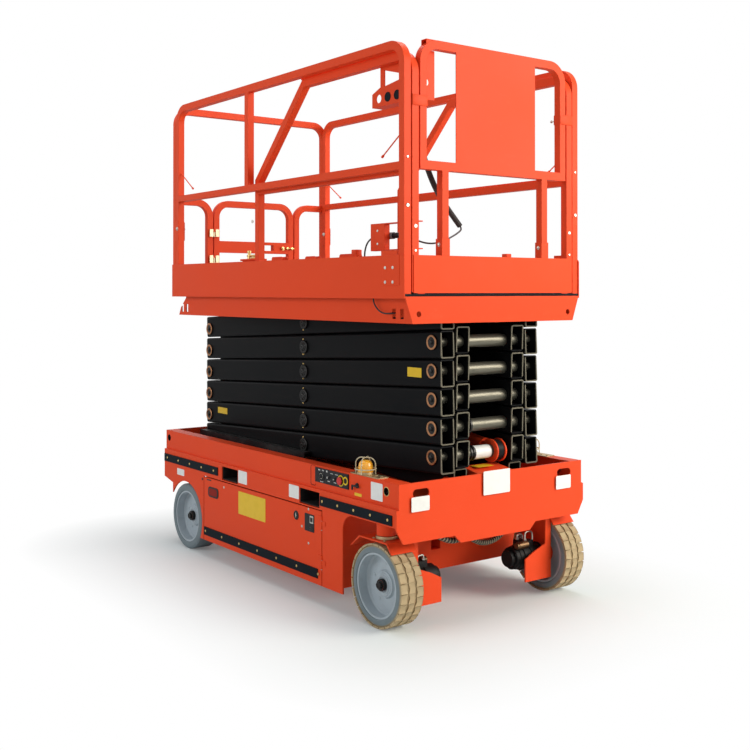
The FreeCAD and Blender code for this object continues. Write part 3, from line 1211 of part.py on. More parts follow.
# Bracket and box inside the right front corner.
bracket_points = [
    (s.bracket_rear_x, s.bracket_z),
    (s.bracket_rear_x, s.bracket_z + s.bracket_foot),
    (s.bracket_rear_x + s.bracket_foot, s.bracket_z + s.bracket_step),
    (s.bracket_rear_x + s.bracket_foot, s.extension_rail_z - s.rail_height),
    (front_post_x - s.rail_tube, s.extension_rail_z - s.rail_height),
    (front_post_x - s.rail_tube, s.bracket_z),
]
bracket_start_y = -extension_inner
bracket = padded("xz", bracket_points, bracket_start_y, s.bracket_wall)
window_points = [
    (s.bracket_window_x, s.bracket_z + s.bracket_step),
    (s.bracket_window_x, rail_inside_z - s.bracket_window_drop),
    (front_post_x - s.rail_tube - s.bracket_foot / 2, s.bracket_z + s.bracket_window_rise),
]
bracket_window = padded("xz", window_points, bracket_start_y - 1, s.bracket_wall + 2)
bracket_holes = [rod("y", s.bracket_hole, bracket_start_y - 1, bracket_start_y + s.bracket_wall + 1,
                     s.bracket_hole_x + s.bracket_hole_pitch * step, s.bracket_z + s.bracket_hole_rise)
                 for step in range(3)]
bracket_shelf = box(s.bracket_rear_x, front_post_x - s.rail_tube, bracket_start_y, bracket_start_y + s.bracket_foot,
                    s.bracket_z, s.bracket_z + s.bracket_wall)
keep("control_bracket", fuse(cut(bracket, bracket_window, *bracket_holes), bracket_shelf))
control_front_x = s.control_box_x + s.control_box_length
control_top_z = s.control_box_z + s.control_box_height
case = box(s.control_box_x, control_front_x, -extension_inner, -extension_inner + s.control_box_depth,
           s.control_box_z, control_top_z)
straps = [box(control_front_x, s.control_strap_end_x, -extension_inner, -extension_inner + s.control_strap_width,
              strap_z, strap_z + s.bracket_wall) for strap_z in (s.control_box_z, control_top_z - s.bracket_wall)]
keep("control_box", fuse(case, *straps))
plug_rear_x = s.control_box_x + s.control_box_depth
plug_body = rod("x", s.plug_radius, plug_rear_x, s.plug_front_x - s.plug_cap, -s.plug_y, s.plug_z)
plug_cap = rod("x", s.plug_cap_radius, s.control_box_x, s.plug_front_x, -s.plug_y, s.plug_z)
keep("control_plug", fuse(plug_body, plug_cap))

# Free cords and hoses: straight runs joined by arcs as large as the runs allow, in millimetres.
CORNER_SHARE = 0.45  # part of the shorter run that an arc takes
VOLUME_PLAY = 0.01  # how far a tube may differ from section times length
CORDS = (
    ("control_hose", s.hose_diameter, (
        (1085, -425, 2386), (1085, -425, 2280), (1085, -396, 2162), (1085, -348, 2048), (1085, -290, 1957),
        (1085, -228, 1890), (1085, -168, 1829))),
    ("control_cable", s.cable_diameter, (
        (962, -429, 1783), (1004, -429, 1783), (1044, -393, 1755), (1069, -337, 1740), (1081, -270, 1752),
        (1085, -205, 1782), (1085, -171, 1801), (1085, -155.2, 1816), (1085, -168, 1829))),
    ("box_cable", s.cable_diameter, (
        (797, -429, 1783), (759, -429, 1783), (717, -434, 1760), (698, -437, 1718), (702, -440, 1666),
        (718, -441, 1614), (727, -441, 1566), (727, -441, 1524))),
    ("skirt_cable", s.loop_diameter, (
        (893, -531, 1506), (893, -531, 1480), (910, -531, 1454), (938, -531, 1433), (972, -530, 1422),
        (1001, -527, 1422), (1020, -513, 1424), (1026, -491, 1425))),
    ("drive_hose_right", s.hose_diameter, (
        (1100, -440, 520), (1100, -440, 480), (1106, -392, 444), (1110, -325, 403), (1112, -240, 366),
        (1111, -152, 381), (1106, -88, 430), (1102, -60, 484), (1102, -60, 520))),
    ("drive_hose_left", s.hose_diameter, (
        (1050, -130, 520), (1050, -130, 444), (1049, -97, 375), (1048, -37, 327), (1048, 38, 310),
        (1048, 112, 327), (1049, 172, 375), (1050, 205, 444), (1050, 205, 520))),
)


def cord(label, diameter, points):
    """A round tube along a route of straight runs and tangent arcs."""
    radius = float(diameter) / 2
    corners = [Vector(*point) for point in points]
    edges = []
    radii = []
    start = corners[0]
    for before, corner, after in zip(corners, corners[1:], corners[2:]):
        back = (before - corner).normalize()
        ahead = (after - corner).normalize()
        half_turn = (math.pi - back.getAngle(ahead)) / 2
        reach = CORNER_SHARE * min((before - corner).Length, (after - corner).Length)
        bend = reach / math.tan(half_turn)
        inward = (back + ahead).normalize()
        arc_start = corner + back * reach
        arc_end = corner + ahead * reach
        middle = corner + inward * (bend / math.cos(half_turn) - bend)
        edges.append(Part.LineSegment(start, arc_start).toShape())
        edges.append(Part.Arc(arc_start, middle, arc_end).toShape())
        radii.append(round(bend))
        start = arc_end
    edges.append(Part.LineSegment(start, corners[-1]).toShape())
    route = Part.Wire(edges)
    section = Part.Wire([Part.makeCircle(radius, corners[0], corners[1] - corners[0])])
    tube = route.makePipeShell([section], True, False)
    expected = math.pi * radius * radius * route.Length
    if abs(tube.Volume - expected) > expected * VOLUME_PLAY:
        raise ValueError(f"{label} is not a plain tube: {tube.Volume} against {expected}")
    print(label, "length", round(route.Length), "diameter", 2 * radius, "bend radii", radii)
    piece = doc.addObject("Part::Feature", label)
    piece.Shape = tube
    keep(label, piece)


for label, diameter, points in CORDS:
    cord(label, diameter, points)

# Every piece has to be sound before it is written.
doc.recompute()
for item in doc.Objects:
    if "Invalid" in item.State or "Error" in item.State:
        raise ValueError(f"{item.Label} did not build")
for piece in SUB_PARTS:
    shape = piece.Shape
    if shape.isNull() or not shape.isValid():
        raise ValueError(f"{piece.Label} has no sound shape")
for piece in SUB_PARTS:
    piece.Shape.exportStep(f"parts/{piece.Label}.step")
    bounds = piece.Shape.BoundBox
    print(piece.Label, len(piece.Shape.Solids), "solids", round(piece.Shape.Volume / 1e6, 2), "litres",
          [round(edge) for edge in (bounds.XMin, bounds.XMax, bounds.YMin, bounds.YMax, bounds.ZMin, bounds.ZMax)])
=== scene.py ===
import math

import bmesh
import bpy
from mathutils import Matrix, Vector


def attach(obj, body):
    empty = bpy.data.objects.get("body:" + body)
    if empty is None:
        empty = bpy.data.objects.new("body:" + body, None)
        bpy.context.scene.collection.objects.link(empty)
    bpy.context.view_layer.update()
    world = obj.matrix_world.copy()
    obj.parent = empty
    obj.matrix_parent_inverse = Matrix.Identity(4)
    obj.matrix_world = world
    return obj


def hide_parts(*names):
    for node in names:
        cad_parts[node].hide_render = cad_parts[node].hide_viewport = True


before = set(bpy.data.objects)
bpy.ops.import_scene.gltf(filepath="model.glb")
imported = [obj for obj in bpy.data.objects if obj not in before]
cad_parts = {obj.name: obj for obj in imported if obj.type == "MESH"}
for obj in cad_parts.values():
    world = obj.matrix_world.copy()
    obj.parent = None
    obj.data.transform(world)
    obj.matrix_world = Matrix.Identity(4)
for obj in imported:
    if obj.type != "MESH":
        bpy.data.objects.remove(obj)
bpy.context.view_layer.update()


# Camera: stands at chest height off the lift's front right corner and looks a little
# up and past it, as in the photograph. The shift only places the lift in the frame.
def linked(name, data):
    """A new object with this data, in the scene."""
    made = bpy.data.objects.new(name, data)
    bpy.context.scene.collection.objects.link(made)
    return made


lens = bpy.data.cameras.new("camera")
lens.lens = 51.2
lens.sensor_width = 36
lens.shift_x = 0.0007
lens.shift_y = -0.1212
lens.clip_end = 100
camera = linked("camera", lens)
camera.location = (4.8501, -3.4717, 1.5261)
camera.rotation_euler = (math.radians(90.35), 0, math.radians(53.31))
bpy.context.scene.camera = camera


# Cords: a corrugated sleeve that hangs from the control bracket, the thin cable that
# comes out of its end and runs to a connector, two wiring loops, and two hydraulic hoses
# in spiral wrap under the front floor. Each is held only by its ends.
class Tone:
    """A number or colour on a surface. Arithmetic on a number adds Math nodes."""

    def __init__(self, nodes, socket):
        self.nodes = nodes
        self.socket = socket

    def maths(self, operation, first, second=0.0):
        return self.nodes.node("Math", {"operation": operation}, {0: first, 1: second})

    def __add__(self, other):
        return self.maths("ADD", self, other)

    def __sub__(self, other):
        return self.maths("SUBTRACT", self, other)

    def __mul__(self, other):
        return self.maths("MULTIPLY", self, other)

    def __rsub__(self, other):
        return self.maths("SUBTRACT", other, self)

    def __gt__(self, other):
        return self.maths("GREATER_THAN", self, other)

    def __lt__(self, other):
        return self.maths("LESS_THAN", self, other)

    def __abs__(self):
        return self.maths("ABSOLUTE", self)

    def wave(self):
        """From -1 to 1 and back for each whole number."""
        return self.maths("SINE", self * math.tau)

    def fract(self):
        return self.maths("FRACT", self)

    def larger(self, other):
        return self.maths("MAXIMUM", self, other)

    def root(self):
        return self.maths("SQRT", self)

    __radd__ = __add__
    __rmul__ = __mul__


class Nodes:
    """A node tree and the ways to add to it."""

    def __init__(self, tree):
        self.tree = tree

    def node(self, kind, settings=None, inputs=None, output=0):
        made = self.tree.nodes.new(f"ShaderNode{kind}")
        for setting, value in (settings or {}).items():
            setattr(made, setting, value)
        for socket, value in (inputs or {}).items():
            self.feed(made.inputs[socket], value)
        return Tone(self, made.outputs[output])

    def feed(self, socket, value):
        if isinstance(value, Tone):
            self.tree.links.new(value.socket, socket)
        elif isinstance(value, tuple) and len(value) == 3 and len(socket.default_value) == 4:
            socket.default_value = (*value, 1)
        else:
            socket.default_value = value

    def step(self, value, low, high, start=0.0, end=1.0):
        return self.node("MapRange", inputs={"Value": value, "From Min": low, "From Max": high,
                                             "To Min": start, "To Max": end})


class Finish(Nodes):
    """A material with its nodes, and a slot name, which is stored but not used."""

    def __init__(self, name, slot, **plain):
        self.material = bpy.data.materials.new(name)
        self.material.use_nodes = True
        super().__init__(self.material.node_tree)
        self.shader = self.tree.nodes["Principled BSDF"]
        self.slot = slot
        self.set(**plain)

    def place(self):
        return self.node("TexCoord", output="Object")

    def across(self, axis):
        """The place along an axis, in millimetres."""
        return self.node("SeparateXYZ", inputs={0: self.place()}, output=axis) * 1000

    def noise(self, scale, detail=3, roughness=0.5, stretch=(1, 1, 1)):
        spread = self.node("Mapping", inputs={"Vector": self.place(), "Scale": stretch})
        return self.node("TexNoise", inputs={"Vector": spread, "Scale": scale, "Detail": detail,
                                             "Roughness": roughness})

    def mix(self, share, first, second):
        return self.node("Mix", {"data_type": "RGBA"}, {0: share, 6: first, 7: second}, output=2)

    def bump(self, height, strength, distance=0.001, edge=0.0):
        """Relief of the surface; edge is the radius of the softened edges."""
        inputs = {"Height": height, "Strength": strength, "Distance": distance}
        if edge:
            inputs["Normal"] = self.node("Bevel", {"samples": 4}, {"Radius": edge})
        self.set(Normal=self.node("Bump", inputs=inputs))

    def set(self, **inputs):
        for socket, value in inputs.items():
            self.feed(self.shader.inputs[socket.replace("_", " ")], value)
        return self

    def cover(self, *nodes):
        for node in nodes:
            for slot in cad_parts[node].material_slots:
                slot.material = self.material


def shade(colour, share, lift=0.0):
    return tuple(part * share + lift for part in colour)


def jacket(name, colour, pitch=0, relief=0.2, highlight_bands=None):
    """Black cord jacket; a wrapped one has ridges at a pitch along its length and, given a band colour, a
    pale painted highlight on the ridge tops.
    """
    skin = Finish(name, "cord", Specular_IOR_Level=0.35)
    dust = skin.step(skin.noise(30, 4), 0.45, 0.75, 0, 0.35)
    worn = skin.mix(dust, colour, shade(colour, 2.2, 0.004))
    if pitch:
        turns = skin.node("SeparateXYZ", inputs={0: skin.node("UVMap")}, output=0) * pitch
        round_it = skin.node("SeparateXYZ", inputs={0: skin.node("UVMap")}, output=1)
        ridge = (turns + round_it * (1 if highlight_bands else 0)).wave()
        # The ridge tops take the pale colour: a painted highlight.
        if highlight_bands:
            worn = skin.mix(skin.step(ridge, 0.35, 0.75), worn, highlight_bands)
        skin.bump(ridge, relief, 0.002)
    else:
        skin.bump(skin.noise(500, 2), relief, 0.0004)
    return skin.set(Base_Color=worn, Roughness=skin.step(dust, 0, 0.35, 0.42, 0.62))


SLEEVE = 0.026
CABLE = 0.008
LOOP = 0.007
BLACK_PVC = (0.012, 0.012, 0.013)
HOSE_BLACK = (0.016, 0.014, 0.012)
# Pale colour of the wrap's ridge tops: a painted highlight.
WRAP_HIGHLIGHT = (0.34, 0.27, 0.17)
CORDS = (
    ("sleeve", "control_hose", "extension", SLEEVE, 0.635, "bare", "medium",
     jacket("sleeve_jacket", (0.022, 0.017, 0.016), 90, 0.6), (
         (1.085, -0.425, 2.386), (1.085, -0.425, 2.28), (1.085, -0.396, 2.162), (1.085, -0.348, 2.048),
         (1.085, -0.29, 1.957), (1.085, -0.228, 1.89), (1.085, -0.168, 1.829))),
    ("cable", "control_cable", "extension", CABLE, 0.377, "object", "limp",
     jacket("cable_jacket", (0.055, 0.04, 0.045)), (
         (0.962, -0.429, 1.783), (1.004, -0.429, 1.783), (1.044, -0.393, 1.755), (1.069, -0.337, 1.74),
         (1.081, -0.27, 1.752), (1.085, -0.205, 1.782), (1.085, -0.171, 1.801), (1.085, -0.1552, 1.816),
         (1.085, -0.168, 1.829))),
    ("box_lead", "box_cable", "extension", CABLE, 0.326, "object", "medium",
     jacket("lead_jacket", BLACK_PVC), (
         (0.797, -0.429, 1.783), (0.759, -0.429, 1.783), (0.717, -0.434, 1.76), (0.698, -0.437, 1.718),
         (0.702, -0.44, 1.666), (0.718, -0.441, 1.614), (0.727, -0.441, 1.566), (0.727, -0.441, 1.524))),
    ("skirt_lead", "skirt_cable", "platform", LOOP, 0.201, "object", "limp",
     jacket("skirt_lead_jacket", BLACK_PVC), (
         (0.893, -0.531, 1.506), (0.893, -0.531, 1.48), (0.91, -0.531, 1.454), (0.938, -0.531, 1.433),
         (0.972, -0.53, 1.422), (1.001, -0.527, 1.422), (1.02, -0.513, 1.424), (1.026, -0.491, 1.425))),
    ("drive_hose_a", "drive_hose_right", "chassis", SLEEVE, 0.531, "object", "medium",
     jacket("hose_wrap_a", HOSE_BLACK, 34, 0.8, WRAP_HIGHLIGHT), (
         (1.1, -0.44, 0.52), (1.1, -0.44, 0.48), (1.106, -0.392, 0.444), (1.11, -0.325, 0.403),
         (1.112, -0.24, 0.366), (1.111, -0.152, 0.381), (1.106, -0.088, 0.43), (1.102, -0.06, 0.484),
         (1.102, -0.06, 0.52))),
    ("drive_hose_b", "drive_hose_left", "chassis", SLEEVE, 0.603, "object", "medium",
     jacket("hose_wrap_b", HOSE_BLACK, 38, 0.8, WRAP_HIGHLIGHT), (
         (1.05, -0.13, 0.52), (1.05, -0.13, 0.444), (1.049, -0.097, 0.375), (1.048, -0.037, 0.327),
         (1.048, 0.038, 0.31), (1.048, 0.112, 0.327), (1.049, 0.172, 0.375), (1.05, 0.205, 0.444),
         (1.05, 0.205, 0.52))),
)
for name, node, body, diameter, length, far_end, stiffness, skin, points in CORDS:
    line = bpy.data.curves.new(name, "CURVE")
    line.dimensions = "3D"
    line.bevel_depth = diameter / 2
    line.bevel_resolution = 5
    line.resolution_u = 14
    line.use_fill_caps = True
    route = line.splines.new("NURBS")
    route.points.add(len(points) - 1)
    for point, place in zip(route.points, points):
        point.co = (*place, 1)
    route.order_u = 3
    route.use_endpoint_u = True
    line.materials.append(skin.material)
    strand = linked(name, line)
    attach(strand, body)
    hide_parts(node)


# Studio: a large lamp that the front faces meet, a weaker one for the right side, one
# from above and a white world. The floor comes last.
def lamp(name, place, aim, width, height, power, colour):
    light = bpy.data.lights.new(name, "AREA")
    light.shape = "RECTANGLE"
    light.size = width
    light.size_y = height
    light.energy = power
    light.color = colour
    holder = linked(name, light)
    holder.location = place
    holder.rotation_euler = (Vector(aim) - Vector(place)).to_track_quat("-Z", "Y").to_euler()


lamp("front_lamp", (6.0, 3.6, 3.6), (0.4, 0, 1.2), 4.5, 3.5, 510, (1.0, 0.95, 0.84))
lamp("side_lamp", (-1.2, -7.5, 3.4), (0, 0, 1.0), 5.0, 3.0, 180, (0.96, 0.98, 1.0))
lamp("top_lamp", (-0.5, 0.5, 6.5), (0, 0, 0), 4.5, 4.5, 200, (1.0, 0.98, 0.95))

world = bpy.data.worlds.new("studio")
world.use_nodes = True
bpy.context.scene.world = world
air = Nodes(world.node_tree)
seen, glossy_ray, clear_ray = (air.node("LightPath", output=f"Is {ray} Ray")
                                 for ray in ("Camera", "Glossy", "Transmission"))
sky = world.node_tree.nodes["Background"]
air.feed(sky.inputs["Strength"], air.step(seen.larger(glossy_ray).larger(clear_ray), 0, 1, 0.32, 1))
air.feed(sky.inputs["Color"], (1, 1, 1))

bpy.context.scene.view_settings.view_transform = "Standard"


# Chassis: a welded box of folded steel plate, powder coated red inside and out, with
# a lighter dusting on its ledges and scuffs where boots and straps touch it.
def coated(name, slot, shades, rough, cloud, grain, *relief, **plain):
    """A finish that drifts between two shades and two roughnesses, with a fine grain."""
    skin = Finish(name, slot, **plain)
    drift = skin.noise(*cloud)
    skin.colour = skin.mix(drift, *shades)
    skin.bump(skin.noise(*grain), *relief)
    return skin.set(Base_Color=skin.colour, Roughness=skin.step(drift, 0.2, 0.8, *rough))


def painted(name, colour, scuff):
    """Powder-coated sheet steel with a fine orange peel."""
    paint = coated(name, "red_paint", (shade(colour, 0.9), colour), (0.34, 0.48), (2.2, 4), (420, 2),
                   0.1, 0.0006, 0.0022, Specular_IOR_Level=0.08)
    dust = paint.step(paint.noise(9, 6, 0.65, (1, 1, 3)), 0.58, 0.88, 0, 0.14)
    marks = paint.step(paint.noise(55, 2, 0.4, (0.35, 0.35, 1.6)), 0.7, 0.78, 0, 0.1)
    paint.colour = paint.mix(marks, paint.mix(dust, paint.colour, scuff), scuff)
    return paint.set(Base_Color=paint.colour)


RED = (0.82, 0.072, 0.020)
RED_SCUFF = (0.82, 0.15, 0.07)
red_paint = painted("red_paint", RED, RED_SCUFF)
red_paint.cover("chassis_frame", "side_beams", "side_panel_left", "side_panel_right", "front_plate",
                "rear_plate", "fork_pockets")

# The stack's tracks are in black primer under dust and a film of grease.
well_black = Finish("well_black", "dark_paint", Specular_IOR_Level=0.3)
dust = well_black.step(well_black.noise(6, 6, 0.65), 0.42, 0.8, 0, 0.5)
well_black.set(Base_Color=well_black.mix(dust, (0.010, 0.010, 0.011), (0.06, 0.055, 0.048)),
               Roughness=well_black.step(dust, 0, 0.5, 0.35, 0.7))
well_black.bump(well_black.noise(300, 3), 0.15, 0.0006)
well_black.cover("stack_tracks")

# Shapes are drawn in millimetres in the mesh on the bench, and finished() makes it a piece.
UP, LEFT, RIGHT, AHEAD, BACK = (0, 0, 1), (0, 1, 0), (0, -1, 0), (1, 0, 0), (-1, 0, 0)
MM = 0.001


class Bench:
    mesh = bmesh.new()


def cube(low, high):
    """Add a box between two opposite corners. Returns its edges."""
    low, high = Vector(low), Vector(high)
    corners = bmesh.ops.create_cube(Bench.mesh, size=1)["verts"]
    bmesh.ops.scale(Bench.mesh, vec=[abs(size) for size in high - low], verts=corners)
    bmesh.ops.translate(Bench.mesh, vec=(low + high) / 2, verts=corners)
    return {edge for corner in corners for edge in corner.link_edges}


def bevel(edges, offset, segments):
    return bmesh.ops.bevel(Bench.mesh, geom=list(edges), offset=offset, offset_type="OFFSET", affect="EDGES",
                           segments=segments, profile=0.5, material=-1)["verts"]


def block(low, high, edge=1.2, segments=2):
    """Add a box with rounded edges."""
    edges = cube(low, high)
    if edge:
        bevel(edges, edge, segments)


def plate(low, high, normal, corner, edge=0.4):
    """Add a flat plate with round corners; normal is the axis that it faces along."""
    across = "xyz".index(normal)

    def flat(rim):
        return abs((rim.verts[0].co - rim.verts[1].co)[across]) < 0.001

    made = bevel([rim for rim in cube(low, high) if not flat(rim)], corner, 5)
    rims = {rim for point in made for face in point.link_faces for rim in face.edges
            if flat(rim) and abs(rim.link_faces[0].normal.dot(rim.link_faces[1].normal)) < 0.5}
    bevel(rims, edge, 1)


def on_side(face, x0, x1, z0, z1, rise, sink=0.5):
    """Corners of something flat on a side of the lift, where y is face."""
    out = math.copysign(1, face)
    return (x0, face - out * sink, z0), (x1, face + out * rise, z1)


def laid(points, centre, axis):
    """Turn points from the z axis to another one, and move them from the origin to centre."""
    turn = Vector(axis).to_track_quat("Z", "Y").to_matrix()
    bmesh.ops.rotate(Bench.mesh, verts=points, cent=(0, 0, 0), matrix=turn)
    bmesh.ops.translate(Bench.mesh, verts=points, vec=centre)


def turned(profile, centre, axis, steps=32):
    """Spin a profile of (radius, along) points round an axis through centre.

    A profile that starts off the axis is closed to a ring.
    """
    mesh = Bench.mesh
    before = set(mesh.verts)
    points = [mesh.verts.new((radius, 0, along)) for radius, along in profile]
    closing = points[:1] if profile[0][0] else []
    edges = [mesh.edges.new(pair) for pair in zip(points, points[1:] + closing)]
    bmesh.ops.spin(mesh, geom=points + edges, cent=(0, 0, 0), axis=UP, angle=math.tau, steps=steps,
                   use_merge=True)
    bmesh.ops.remove_doubles(mesh, verts=[point for point in mesh.verts if point not in before], dist=0.001)
    laid([point for point in mesh.verts if point not in before], centre, axis)


def disc(centre, axis, radius, height, edge=1, steps=24):
    """Add a round head with a softened rim, standing on centre."""
    turned([(0, 0), (radius, 0), (radius, height - edge), (radius - edge, height), (0, height)], centre, axis,
           steps)


def hexagon(centre, axis, radius, height, edge=0.8):
    """Add a six-sided bolt head or nut, standing on centre."""
    turned([(0, 0), (radius, 0), (radius, height - edge), (radius - edge * 2, height), (0, height)], centre,
           axis, 6)


def rod(centre, axis, radius, length, steps=20):
    """Add a plain round bar, standing on centre."""
    turned([(0, 0), (radius, 0), (radius, length), (0, length)], centre, axis, steps)


def ring(inner, outer, height, rise, centre, axis, steps=32):
    """Add a collar, standing on centre, whose outer edges are cut back by rise."""
    turned([(inner, 0), (outer, rise), (outer, height - rise), (inner, height)], centre, axis, steps)


def bolt(centre, axis, radius):
    """Add a hexagon head on its washer."""
    washer = radius * 0.18
    disc(centre, axis, radius * 1.35, washer, radius * 0.06, 20)
    hexagon(Vector(centre) + Vector(axis) * washer, axis, radius, radius * 0.62, radius * 0.1)


def around(count, radius, first=0):
    """Places at equal steps round a circle, the first at an angle in degrees."""
    for number in range(count):
        angle = math.radians(360 / count * number + first)
        yield math.cos(angle) * radius, math.sin(angle) * radius


def mirrored():
    """Repeat everything on the bench on the other side of the lift."""
    mesh = Bench.mesh
    bmesh.ops.mirror(mesh, geom=mesh.verts[:] + mesh.edges[:] + mesh.faces[:], merge_dist=-1, axis="Y")


def finished(name, finish, body, smooth=35):
    """Turn the mesh on the bench into a piece of the lift that rides on a body."""
    mesh = Bench.mesh
    Bench.mesh = bmesh.new()
    bmesh.ops.scale(mesh, vec=(MM, MM, MM), verts=mesh.verts)
    bmesh.ops.recalc_face_normals(mesh, faces=mesh.faces)
    data = bpy.data.meshes.new(name)
    mesh.to_mesh(data)
    mesh.free()
    data.polygons.foreach_set("use_smooth", [True] * len(data.polygons))
    data.set_sharp_from_angle(angle=math.radians(smooth))
    data.materials.append(finish.material)
    piece = linked(name, data)
    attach(piece, body)
    return piece


# Information plates: thin blank aluminium plates, white or yellow, stuck on the front plate
# under its hand holes and by the hump, on the beams, on the fork pockets and at the rear.
def enamelled(name, colour):
    enamel = Finish(name, "steel", Specular_IOR_Level=0.3)
    soil = enamel.step(enamel.noise(22, 5, 0.6), 0.45, 0.8, 0, 0.3)
    enamel.bump(enamel.noise(200, 2), 0.06, 0.0004)
    return enamel.set(Base_Color=enamel.mix(soil, colour, shade(colour, 0.72)),
                      Roughness=enamel.step(soil, 0, 0.3, 0.3, 0.5))


white_plate = enamelled("white_plate", (0.80, 0.80, 0.78))
yellow_plate = enamelled("yellow_plate", (0.80, 0.52, 0.02))
FRONT_FACE = 1160.9
BEAM_FACE = 578
DOOR_FACE = 590
for y, z, half, tall in ((-467, 577, 52, 33), (446, 577, 52, 33), (-4, 626, 85, 56)):
    plate((FRONT_FACE, y - half, z - tall), (FRONT_FACE + 0.9, y + half, z + tall), "x", 6)
for x0, x1, z0, z1, face in ((940, 1028, 577, 657, BEAM_FACE), (-259, -165, 480, 549, DOOR_FACE),
                             (259, 352, 484, 549, DOOR_FACE), (-999, -907, 424, 462, DOOR_FACE)):
    for side in (-1, 1):
        plate(*on_side(side * face, x0, x1, z0, z1, 1), "y", 5)
finished("white_plates", white_plate, "chassis")
plate((1045, -70, 691.5), (1105, 30, 692.8), "z", 4)
finished("hump_plate", yellow_plate, "chassis")


# Plated hardware: zinc-plated bolts hold the plates and rails, yellow-passivated screws
# the rubber strips and the hinges.
def bare(name, colour, rough):
    """Bare or plated metal with fine scratches."""
    return coated(name, "steel", (shade(colour, 0.72), colour), (rough - 0.08, rough + 0.1), (30, 4),
                  (140, 3, 0.6, (1, 1, 5)), 0.12, 0.0005, 0.001, Metallic=1.0)


zinc = bare("zinc_plate", (0.66, 0.64, 0.58), 0.34)
brass = bare("yellow_zinc", (0.72, 0.50, 0.20), 0.30)
black_steel = bare("black_steel", (0.045, 0.043, 0.042), 0.38)


# Bump strips: extruded black rubber screwed along both sides of the chassis, in front of
# and behind the fork pockets, each with a row of sunk yellow screws.
RUBBER = (0.005, 0.008, 0.011)
black_rubber = coated("black_rubber", "rubber", (RUBBER, shade(RUBBER, 1.9, 0.003)), (0.44, 0.6),
                      (18, 5, 0.6, (0.4, 1, 1)), (260, 3, 0.6, (0.3, 1, 1)), 0.2, 0.0006, 0.0025,
                      Specular_IOR_Level=0.04)
black_rubber.cover("bump_strips", "tray_strip_left", "tray_strip_right")
STRIP_FACE = 595


def strip_screws(x0, x1, count, z, sign):
    """A row of countersunk screws with hexagon sockets along a rubber strip."""
    for number in range(count):
        x = x0 + (x1 - x0) * number / (count - 1)
        disc((x, sign * (STRIP_FACE - 0.4), z), (0, sign, 0), 6.5, 1.6, 0.6, 16)
        disc((x, sign * (STRIP_FACE + 0.8), z), (0, sign, 0), 3.8, 1.2, 0.4, 6)


strip_screws(-1125, -535, 5, 508, -1)
strip_screws(565, 1085, 5, 508, -1)
mirrored()
finished("strip_screws", brass, "chassis")


# Fork pockets: boxed steel sleeves right through the chassis, dark inside. Thin liners
# show at both of their ends.
for x0, x1 in ((-439, -271), (362, 530)):
    for side in (-1, 1):
        inner, outer = side * 470, side * 586.5
        for z in (474.5, 544):
            block((x0, inner, z), (x1, outer, z + 2), 0.4, 1)
        for x in (x0 - 0.5, x1 - 1.5):
            block((x, inner, 476.5), (x + 2, outer, 544), 0.4, 1)
finished("pocket_liners", well_black, "chassis")


# Side beams: folded box sections along the top of both sides. A round hole near each end
# takes a tie-down strap. A black sleeve lines it as painted shade for the inside of the hole,
# and the front one has a plated rim.
TIE_FRONT, TIE_REAR, TIE_Z = 1056, -1132, 628
for x in (TIE_FRONT, TIE_REAR):
    turned([(18, -34), (19.4, -34), (19.4, 0.6), (18, 0.8)], (x, -BEAM_FACE, TIE_Z), RIGHT, 28)
mirrored()
finished("tie_hole_shades", black_steel, "chassis")
turned([(18.2, 0.6), (21.2, -0.2), (21.2, 1), (18.2, 1.6)], (TIE_FRONT, -BEAM_FACE, TIE_Z), RIGHT, 28)
mirrored()
finished("tie_rings", brass, "chassis")


# Ground control: a black moulded fascia let into the right beam, with a round key switch,
# two toggles, a red mushroom stop in a yellow ring, and beside it a release lever.
def moulded(name, colour, rough, clear=0.0, slot="black_plastic"):
    return coated(name, slot, (shade(colour, 0.8), colour), (rough - 0.06, rough + 0.08), (25, 4), (600, 2),
                  0.12, 0.0005, 0.001, Specular_IOR_Level=0.25, Coat_Weight=clear, Coat_Roughness=0.1)


black_plastic = moulded("black_plastic", (0.007, 0.007, 0.009), 0.42)
black_plastic.cover("ground_control", "control_plug")
pale_plastic = moulded("pale_plastic", (0.62, 0.62, 0.60), 0.4)
red_button = moulded("red_button", (0.62, 0.012, 0.010), 0.3, 0.3)
yellow_ring = moulded("yellow_ring", (0.80, 0.55, 0.02), 0.4)
# A darker red that stands for painted shade: the fascia's recess, the pulls' hollows and the doors' returns.
recess_shade_paint = painted("painted_shade_red", (0.26, 0.012, 0.006), (0.32, 0.03, 0.02))
FASCIA = -583.5
KEY_X, TOGGLES, STOP_X = 546, (607, 660), 708
# A dark red plate round the fascia stands in for its recess: painted shade.
plate(*on_side(-BEAM_FACE, 440, 486, 570, 670, 0.6), "y", 12, 0.3)
finished("fascia_recess_shade", recess_shade_paint, "chassis")
plate(*on_side(-BEAM_FACE, 446.5, 486, 574.5, 668, 1.2), "y", 10, 0.3)
finished("fascia_edge", red_paint, "chassis")
turned([(0, 0), (27, 0), (27, 2), (23, 4), (20, 4), (19, 1.5), (12, 1.5), (12, 6), (10.5, 7), (0, 7)],
       (KEY_X, FASCIA, 628), RIGHT)
block((KEY_X - 2.5, FASCIA - 9.5, 620), (KEY_X + 2.5, FASCIA - 6, 636), 1)
for x in TOGGLES:
    disc((x, FASCIA, 628), RIGHT, 9, 3, 1, 20)
    turned([(0, 2), (4.2, 2), (3.6, 9), (0, 9)], (x, FASCIA, 628), RIGHT, 16)
for x in (496.5, 758.5):
    for z in (602, 656):
        disc((x, FASCIA, z), RIGHT, 4, 1.5, 0.5, 14)
finished("panel_switches", black_plastic, "chassis")
